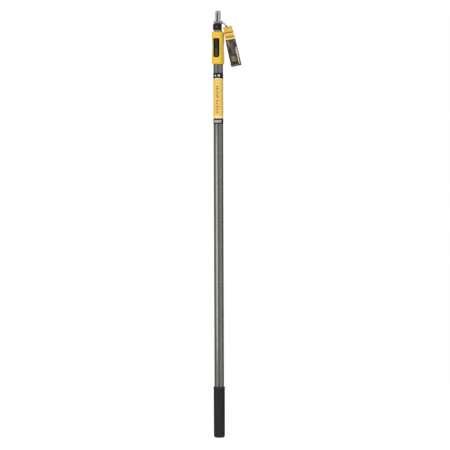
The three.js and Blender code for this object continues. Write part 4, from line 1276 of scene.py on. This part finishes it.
def build_tip():
    seg = 160
    ang = np.arange(seg) * 2 * math.pi / seg
    s = Shell()
    rings = [s.ring([(0, 0, SHANK_Z0)])]

    def ring(r, z):
        r = np.broadcast_to(r, (seg,))
        rings.append(s.ring(np.stack([r * np.cos(ang), r * np.sin(ang), np.full(seg, z)], 1)))

    for r, z in rounded([(2.0, SHANK_Z0, 0), (SHANK_R, SHANK_Z0, 0.8), (SHANK_R, 1222, 0.1), (NECK_R, 1222.4, 0.1), (NECK_R, CROWN_Z0, 0.5), (CROWN_R, CROWN_Z0, 0.5),
                         (CROWN_R, CROWN_Z1, 0.55), (10.9, CROWN_Z1, 0.5), (10.6, CROWN_BASE, 0.5), (THREAD_MINOR + 0.3, CROWN_BASE, 0)], 0.4, 5):
        ring(r, z)
    for z in np.linspace(CROWN_BASE + 0.4, TIP_TOP - 1.2, 24):
        ring(THREAD_MINOR, z)
    for r, z in rounded([(THREAD_MINOR, TIP_TOP - 1.0, 0), (THREAD_MINOR, TIP_TOP - 0.45, 0.3), (THREAD_MINOR - 0.55, TIP_TOP, 0.3), (1.5, TIP_TOP, 0)], 0.3, 3):
        ring(r, z)
    rings.append(s.ring([(0, 0, TIP_TOP)]))
    for a, b in zip(rings, rings[1:]):
        s.bridge(a, b)
    o = make("threaded_tip_cast", s, CAST, sharp=34)
    boolean(o, build_thread(), "UNION", sharp=34)
    # gaps between the crown's three teeth: flared arcs, rounded at the foot
    turn0 = math.radians(16.5 + 180)
    top = CROWN_Z1 - CROWN_BASE + 1
    for k in range(3):
        c = Shell()
        sections = [(0.0, 32.0), (0.12, 33.4), (0.45, 34.4), (1.2, 35.7), (2.3, 38.4), (3.2, 41.0), (3.6, 42.6), (top, 46.0)]
        loops = []
        for dz, half in sections:
            a = np.radians(np.linspace(-half, half, 25))
            loop = [(math.sin(t) * 16, -math.cos(t) * 16, CROWN_BASE + 0.02 + dz) for t in a] + [(math.sin(t) * 10.2, -math.cos(t) * 10.2, CROWN_BASE + 0.02 + dz) for t in a[::-1]]
            loops.append(c.ring(loop))
        for a, b in zip(loops, loops[1:]):
            c.bridge(a, b)
        c.face(loops[0][::-1])
        c.face(loops[-1])
        c.moved(Matrix.Rotation(turn0 + math.pi / 3 + k * 2 * math.pi / 3, 4, "Z"))
        boolean(o, c, sharp=34)
    boolean(o, block(-SLOT_HX, SLOT_HX, -10.4, -SLOT_FLOOR, CROWN_BASE - 0.5, SLOT_TOP), sharp=34)
    boolean(o, block(-SLOT_HX, SLOT_HX, -NECK_R + 0.02, -SLOT_FLOOR - 0.003, BUTTON_Z, CROWN_Z1 + 1), sharp=34)
    boolean(o, block(-SLOT_HX, SLOT_HX, -NECK_R - 2, -SLOT_FLOOR - 0.006, BUTTON_Z + 0.1, CROWN_Z0 - 0.6), sharp=34)
    boolean(o, bar_y(5.0, -12, -6.2, 0, BUTTON_Z, 40), sharp=34)
    for sgn in (-1, 1):
        boolean(o, bar_x(1.4, 6.6, 12, 0, TIP_RIVET_Z, 28) if sgn > 0 else bar_x(1.4, -12, -6.6, 0, TIP_RIVET_Z, 28), sharp=34)
    return place(o, "inner_pole", "threaded_tip")


build_tip()


def tip_rivet(name, sgn, node):
    prof = [(0, 7)] + rounded([(0.2, 7, 0), (1.1, 7, 0.15), (1.1, 11.85, 0)], 0.15, 3)[1:]
    for k in range(1, 6):
        a = math.pi / 2 * k / 6
        prof.append((1.1 * math.cos(a), 11.85 + 0.25 * math.sin(a)))
    prof.append((0, 12.1))
    s = lathe(prof, 36)
    s.moved(Matrix.Translation((0, 0, TIP_RIVET_Z)) @ Matrix.Rotation(math.radians(90 * sgn), 4, "Y"))
    place(make(name, s, STEEL, sharp=45), "inner_pole", node)


tip_rivet("tip_rivet_left", -1, "tip_rivet_1")
tip_rivet("tip_rivet_right", 1, "tip_rivet_2")


def build_collar():
    # eccentric: the bore is on the pole's axis, and the outside leans towards the side that carries the button
    prof = rounded([(NECK_R + 0.3, 1230.0, 0), (NECK_R + 0.3, COLLAR_Z0, 0.2), (COLLAR_R, COLLAR_Z0, 0.8), (COLLAR_R, COLLAR_Z1, 0.9), (NECK_R + 0.3, COLLAR_Z1, 0.25), (NECK_R + 0.3, 1230.0, 0)], 0.3, 6)
    body = lathe(prof, 144)
    lean = []
    for v in body.v:
        far = math.hypot(v[0], v[1])
        k = min(1.0, max(0.0, (far - NECK_R - 0.6) / (COLLAR_R - NECK_R - 1.6)))
        lean.append((v[0] + COLLAR_CX * k, v[1] + COLLAR_CY * k, v[2]))
    body.v = lean
    o = make("tip_collar_turned", body, COLLAR_BLACK, sharp=42)
    # raised rim round the button, proud of the collar's curve
    rim = Shell()
    seg, loops = 64, []
    w = np.arange(seg) * 2 * math.pi / seg
    section = []
    for k in range(9):
        a = math.pi * k / 8
        section.append((4.45 + 0.62 * math.cos(a), 0.34 * math.sin(a)))
    section += [(3.83, -1.6), (5.07, -1.6)]
    for r, h in section:
        x, z = r * np.cos(w), r * np.sin(w)
        y = COLLAR_CY - np.sqrt(COLLAR_R**2 - (x - COLLAR_CX) ** 2) - h
        loops.append(rim.ring(np.stack([x, y, BUTTON_Z + z], 1)))
    for i in range(len(loops)):
        rim.bridge(loops[i], loops[(i + 1) % len(loops)])
    boolean(o, rim, "UNION", sharp=42)
    boolean(o, bar_y(BUTTON_R + 0.25, -20, -8, 0, BUTTON_Z, 64), sharp=42)
    boolean(o, bar_y(5.0, -12.3, -8, 0, BUTTON_Z, 48), sharp=42)
    return place(o, "inner_pole", "tip_collar")


build_collar()


def build_retainer():
    s = Shell()
    gap = 0.22
    sec = [(q[0], q[1]) for q in rounded([(10.65, 0, 0), (11.0, 0, 0.12), (11.0, 0.8, 0.12), (10.3, 0.8, 0.12), (10.3, 0, 0.12), (10.65, 0, 0)], 0.15, 3, support=9)][:-1]
    rings = []
    for a in np.linspace(math.pi / 2 + gap, math.pi / 2 + 2 * math.pi - gap, 121):
        rings.append(s.ring([(r * math.cos(a), r * math.sin(a), 1240.9 + z) for r, z in sec]))
    for a, b in zip(rings, rings[1:]):
        s.bridge(a, b)
    s.face(rings[0])
    s.face(rings[-1][::-1])
    return place(make("collar_snap_ring", s, DARK_STEEL, sharp=45), "inner_pole", "collar_retaining_ring")


build_retainer()


def build_button():
    # lathe heights run along +Y; the button faces -Y, so its profile is drawn from the flange outwards and mirrored
    prof = [(0, 11.1)] + rounded([(0.5, 11.1, 0), (4.65, 11.1, 0.15), (4.65, 12.0, 0.15), (BUTTON_R - 0.04, 12.0, 0.05), (BUTTON_R - 0.04, 14.75, 0.45), (2.5, 15.1, 0.5), (1.9, 14.85, 0.5), (0.6, 14.75, 0)], 0.1, 5)[1:] + [(0, 14.74)]
    s = lathe(prof, 64)
    s.moved(Matrix.Translation((0, 0, BUTTON_Z)) @ Matrix.Rotation(math.radians(90), 4, "X"))
    return place(make("release_button_cap", s, BUTTON_GREY, sharp=42), "release_button", "release_button")


build_button()


def build_latch():
    b = BUTTON_Z
    o = make("latch_blade_pressed", prism_x([(-10.8, b + 1.3), (-8.0, b + 1.3), (-7.3, b + 2.3), (-7.0, 1272.2), (-8.2, 1273.4), (-9.1, 1272.4), (-9.3, b + 4.6), (-10.8, b + 4.2)], -1.15, 1.15), SPRING_STEEL, weld=0)
    bevelled(o, 0.14, 2, 30, sharp=50)
    return place(o, "release_button", "latch_blade")


build_latch()

# ------------------------------------------------------------------ hang tag


def tag_twist(y):
    """How far the card is turned about its own length at y: flat below, its left edge forward at the top."""
    t = np.clip((y + 30.0) / 90.0, 0, 1)
    return math.radians(27) * t * t * (3 - 2 * t) * 0.999 + math.radians(2) * np.sin(y * 0.03)


def build_tag():
    from mathutils.geometry import delaunay_2d_cdt
    hw, hl, r = TAG_W / 2, TAG_L / 2, TAG_CORNER
    outer = []

    def corner(cx, cy, a0, steps=8):
        for i in range(steps + 1):
            a = a0 + i / steps * math.pi / 2
            outer.append((cx + r * math.cos(a), cy + r * math.sin(a)))

    def straight(q, step=2.0):
        p = outer[-1]
        n = max(1, int(math.dist(p, q) / step))
        for i in range(1, n):
            outer.append((p[0] + (q[0] - p[0]) * i / n, p[1] + (q[1] - p[1]) * i / n))

    corner(hw - r, -hl + r, -math.pi / 2)
    straight((hw, hl - r))
    corner(hw - r, hl - r, 0)
    straight((-hw + r, hl))
    corner(-hw + r, hl - r, math.pi / 2)
    straight((-hw, -hl + r))
    corner(-hw + r, -hl + r, math.pi)
    straight((hw - r, -hl))
    hole = [(TAG_HOLE_OFF + TAG_HOLE_R * math.cos(a), hl - TAG_HOLE_IN + TAG_HOLE_R * math.sin(a)) for a in np.arange(36) * 2 * math.pi / 36]
    grid = []
    for x in np.arange(-hw + 2, hw - 1.9, 1.93):
        for y in np.arange(-hl + 2, hl - 1.9, 2.0):
            if math.hypot(x - TAG_HOLE_OFF, y - hl + TAG_HOLE_IN) > TAG_HOLE_R + 0.9:
                grid.append((x, y))
    ring2 = [(TAG_HOLE_OFF + (TAG_HOLE_R + 0.5) * math.cos(a), hl - TAG_HOLE_IN + (TAG_HOLE_R + 0.5) * math.sin(a)) for a in np.arange(36) * 2 * math.pi / 36]
    pts = outer + hole + ring2 + grid
    n_o, n_h = len(outer), len(hole)
    faces_in = [list(range(n_o))]
    rim = [(n_o + i, n_o + (i + 1) % n_h) for i in range(n_h)]
    vs, es, fs, ov, oe, of_ = delaunay_2d_cdt([Vector(p) for p in pts], rim, faces_in, 1, 1e-6)
    vs = [np.array(v[:2]) for v in vs]
    tri = []
    for f in fs:
        c = sum(vs[i] for i in f) / len(f)
        if math.hypot(c[0] - TAG_HOLE_OFF, c[1] - hl + TAG_HOLE_IN) > TAG_HOLE_R * 0.985:
            tri.append(tuple(f))
    ctl, stl = math.cos(TAG_TILT), math.sin(TAG_TILT)
    ex, ey = U * ctl + ZV * stl, -U * stl + ZV * ctl

    def world(p, side, inset=0.0):
        x, y = p
        tw = float(tag_twist(y))
        # pivot the twist on the hole's own line, so that the hole stays on the cord
        dx = x - TAG_HOLE_OFF
        thick = side * (TAG_T / 2 - 0.05 - inset)
        curl = 0.0009 * dx * dx * (1 if y < 10 else 1) * 1.0
        px = TAG_HOLE_OFF + dx * math.cos(tw) + thick * math.sin(tw)
        pn = -dx * math.sin(tw) + thick * math.cos(tw) + curl
        return at(TAG_U, TAG_N, TAG_Z) + ex * px + ey * y + N * pn

    s = Shell()
    soft = 0.14

    def pulled(p):
        """Gives the point back unchanged; nothing calls it."""
        return p

    front = s.ring([world(p, 1) for p in vs])
    rear = s.ring([world(p, -1) for p in vs])
    for f in tri:
        s.face([front[i] for i in f], 0)
        s.face([rear[i] for i in f][::-1], 1)
    # walls: every edge that only one face uses
    count = {}
    for f in tri:
        for i in range(len(f)):
            a, b = f[i], f[(i + 1) % len(f)]
            key = (min(a, b), max(a, b))
            count.setdefault(key, []).append((a, b))
    for key, uses in count.items():
        if len(uses) == 1:
            a, b = uses[0]
            s.face((front[b], front[a], rear[a], rear[b]), 2)
    o = make("hang_tag_card", s, [TAG_FRONT, TAG_BACK, TAG_EDGE], sharp=40)
    return place(o, "hang_tag", "hang_tag")


build_tag()

# ------------------------------------------------------------------ CAD pieces that stay, with their own finishes


def finish_node(node, mat):
    o = frame["nodes"][node]
    for i in range(max(1, len(o.material_slots))):
        if len(o.material_slots) <= i:
            o.data.materials.append(mat)
        o.material_slots[i].material = mat


finish_node("tube_end_plug", BLACK)
finish_node("guide_sleeve", NYLON)
finish_node("trigger_pin", STEEL)
finish_node("lock_pin", STEEL)
finish_node("inner_end_glide", BLACK)


def build_spring(name, r, wire, y0, y1, turns, x, z, body, node):
    """A compression coil along Y with closed ends: the last turn at each end lies flat."""
    steps = int(turns * 30)
    line = []
    for i in range(steps + 1):
        k = i / 30
        rise = max(0.0, min(1.0, (k - 0.8) / (turns - 1.6)))
        rise = rise * (1 - 0.12) + 0.12 * min(1.0, k / turns)
        line.append((x + r * math.cos(2 * math.pi * k), y0 + wire + (y1 - y0 - 2 * wire) * rise, z + r * math.sin(2 * math.pi * k)))
    line = np.array(line)
    s = Shell()
    w = np.arange(10) * 2 * math.pi / 10
    rings = []
    for i, p in enumerate(line):
        a = 2 * math.pi * i / 30
        out = np.array([math.cos(a), 0, math.sin(a)])
        rings.append(s.ring([p + (out * math.cos(t) + np.array([0, 1.0, 0]) * math.sin(t)) * wire for t in w]))
    for q, t in zip(rings, rings[1:]):
        s.bridge(q, t)
    s.face(rings[0])
    s.face(rings[-1][::-1])
    o = place(make(name, s, STEEL, sharp=60), body, node)
    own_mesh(o)
    return o


build_spring("trigger_coil_spring", 2.1, 0.22, -17.72, -14.6, 4.5, 0, PIVOT_Z - 16, "outer_pole", "trigger_spring")
build_spring("button_coil_spring", 1.5, 0.22, -11.02, -6.28, 5.0, 0, BUTTON_Z - 1.6, "inner_pole", "button_spring")

# ------------------------------------------------------------------ studio


def emission_mat(name, strength, base):
    m = bpy.data.materials.new(name)
    m.use_nodes = True
    t = m.node_tree
    t.nodes.clear()
    out = t.nodes.new("ShaderNodeOutputMaterial")
    b = t.nodes.new("ShaderNodeBsdfPrincipled")
    b.inputs["Base Color"].default_value = base
    b.inputs["Roughness"].default_value = 0.9
    b.inputs["Specular IOR Level"].default_value = 0.0
    b.inputs["Emission Color"].default_value = (1, 1, 1, 1)
    b.inputs["Emission Strength"].default_value = strength
    t.links.new(b.outputs[0], out.inputs[0])
    return m


def disc_shell(radius, z, seg=96):
    s = Shell()
    rings = [s.ring([(0, 0, z)])]
    for r in (radius * 0.02, radius * 0.2, radius * 0.6, radius):
        rings.append(s.ring([(r * math.cos(a), r * math.sin(a), z) for a in np.arange(seg) * 2 * math.pi / seg]))
    for a, b in zip(rings, rings[1:]):
        s.bridge(a, b)
    return s


# a pale floor and a pale surround, both lit evenly so that they read as clean white
floor = make("studio_floor", disc_shell(40000, -0.05), emission_mat("floor_white", 0.93, (0.12, 0.12, 0.12, 1)))
floor.visible_glossy = False
floor.visible_diffuse = False
dome_s = Shell()
dome_rings = []
for k in range(13):
    a = math.radians(-8 + 98 * k / 12)
    rr, zz = 40000 * math.cos(a), 40000 * math.sin(a)
    dome_rings.append(dome_s.ring([(rr * math.cos(t), rr * math.sin(t), zz) for t in np.arange(64) * 2 * math.pi / 64] if k < 12 else [(0, 0, 40000)]))
for a, b in zip(dome_rings, dome_rings[1:]):
    dome_s.bridge(a, b)
dome = make("studio_dome", dome_s, emission_mat("dome_white", 1.0, (0, 0, 0, 1)))
for flag in ("visible_diffuse", "visible_glossy", "visible_transmission", "visible_shadow", "visible_volume_scatter"):
    setattr(dome, flag, False)

world = bpy.data.worlds.new("studio")
bpy.context.scene.world = world
world.use_nodes = True
wt = world.node_tree
wt.nodes.clear()
W_OUT = wt.nodes.new("ShaderNodeOutputWorld")
W_BG = wt.nodes.new("ShaderNodeBackground")
wt.links.new(W_BG.outputs[0], W_OUT.inputs[0])
w_tc = wt.nodes.new("ShaderNodeTexCoord")


def w_dot(vec):
    n = wt.nodes.new("ShaderNodeVectorMath")
    n.operation = "DOT_PRODUCT"
    wt.links.new(w_tc.outputs["Generated"], n.inputs[0])
    n.inputs[1].default_value = tuple(vec)
    return n.outputs["Value"]


def w_math(op, a, b=None):
    n = wt.nodes.new("ShaderNodeMath")
    n.operation = op
    for i, v in enumerate((a, b)):
        if v is None:
            continue
        if isinstance(v, bpy.types.NodeSocket):
            wt.links.new(v, n.inputs[i])
        else:
            n.inputs[i].default_value = v
    return n.outputs[0]


def w_ramp(fac, stops):
    n = wt.nodes.new("ShaderNodeValToRGB")
    n.color_ramp.interpolation = "EASE"
    els = n.color_ramp.elements
    while len(els) > 1:
        els.remove(els[-1])
    for i, (p, c) in enumerate(stops):
        e = els[0] if i == 0 else els.new(p)
        e.position = p
        e.color = (c, c, c, 1)
    wt.links.new(fac, n.inputs[0])
    return n.outputs[0]


# azimuth of a direction from the camera's side, -1 to 1 for -180 to 180 degrees, right side positive
az = w_math("DIVIDE", w_math("ARCTAN2", w_dot(U), w_dot(N)), math.pi)
az01 = w_math("MULTIPLY_ADD", az, 0.5)
az01.node.inputs[2].default_value = 0.5


def azp(deg):
    return 0.5 + deg / 360.0


STUDIO = [
    (azp(-180), 0.30), (azp(-161), 0.30), (azp(-155), 0.50), (azp(-147), 0.50), (azp(-140), 0.05), (azp(-112), 0.05), (azp(-97), 0.22), (azp(-80), 0.34), (azp(-64), 0.42),
    (azp(-44), 0.50), (azp(-21), 0.30), (azp(-6), 0.17), (azp(9), 0.14), (azp(26), 0.42), (azp(46), 0.41), (azp(74), 0.42), (azp(90), 0.24), (azp(104), 0.04), (azp(140), 0.04), (azp(147), 0.40),
    (azp(155), 0.40), (azp(161), 0.30), (azp(180), 0.30),
]
band = w_ramp(az01, STUDIO)
height = w_math("MULTIPLY_ADD", w_dot((0, 0, 1)), 0.5)
height.node.inputs[2].default_value = 0.5
vert = w_ramp(height, [(0.0, 0.35), (0.35, 0.60), (0.5, 0.95), (0.62, 1.1), (0.9, 1.2), (1.0, 1.2)])
mul = wt.nodes.new("ShaderNodeMix")
mul.data_type = "RGBA"
mul.blend_type = "MULTIPLY"
mul.inputs[0].default_value = 1.0
wt.links.new(band, mul.inputs[6])
wt.links.new(vert, mul.inputs[7])
# the poles of the sky are even, so that the bands don't pinch overhead
cap = w_ramp(height, [(0.0, 1.0), (0.12, 1.0), (0.25, 0.0), (0.8, 0.0), (0.93, 1.0), (1.0, 1.0)])
even = wt.nodes.new("ShaderNodeMix")
even.data_type = "RGBA"
wt.links.new(cap, even.inputs[0])
wt.links.new(mul.outputs[2], even.inputs[6])
even.inputs[7].default_value = (0.45, 0.45, 0.45, 1)
wt.links.new(even.outputs[2], W_BG.inputs["Color"])
W_BG.inputs["Strength"].default_value = 1.5

# a tall strip at the left makes the streak down the tube; wide soft lights at the left, the right and behind fill the shapes
LIGHTS = (
    # name, azimuth, distance, height, width, length, watts, seen in gloss
    ("strip_left", -45, 1000, 565, 430, 720, 1.75, True),
    ("soft_left", -50, 2300, 1100, 900, 1300, 24.0, False),
    ("fill_right", 42, 2600, 900, 1200, 1600, 27.0, False),
    ("back_soft", 165, 2400, 1500, 1400, 1400, 26.0, False),
)
for name, azim, dist, z, sx, sy, energy, gloss in LIGHTS:
    a = math.radians(azim)
    d = U * math.sin(a) + N * math.cos(a)
    ld = bpy.data.lights.new(name, "AREA")
    ld.shape = "RECTANGLE"
    ld.size, ld.size_y = sx * MM, sy * MM
    ld.energy = energy
    lo = bpy.data.objects.new(name, ld)
    COL.objects.link(lo)
    lo.location = Vector((d * dist + ZV * z) * MM)
    aim = Vector((0, 0, z * MM if gloss else 0.8)) - lo.location
    lo.rotation_euler = aim.to_track_quat("-Z", "Y").to_euler()
    lo.visible_camera = False
    lo.visible_glossy = gloss

sc = bpy.context.scene
sc.view_settings.view_transform = "Standard"
sc.view_settings.look = "None"
sc.view_settings.exposure = 0.0
sc.view_settings.gamma = 1.0
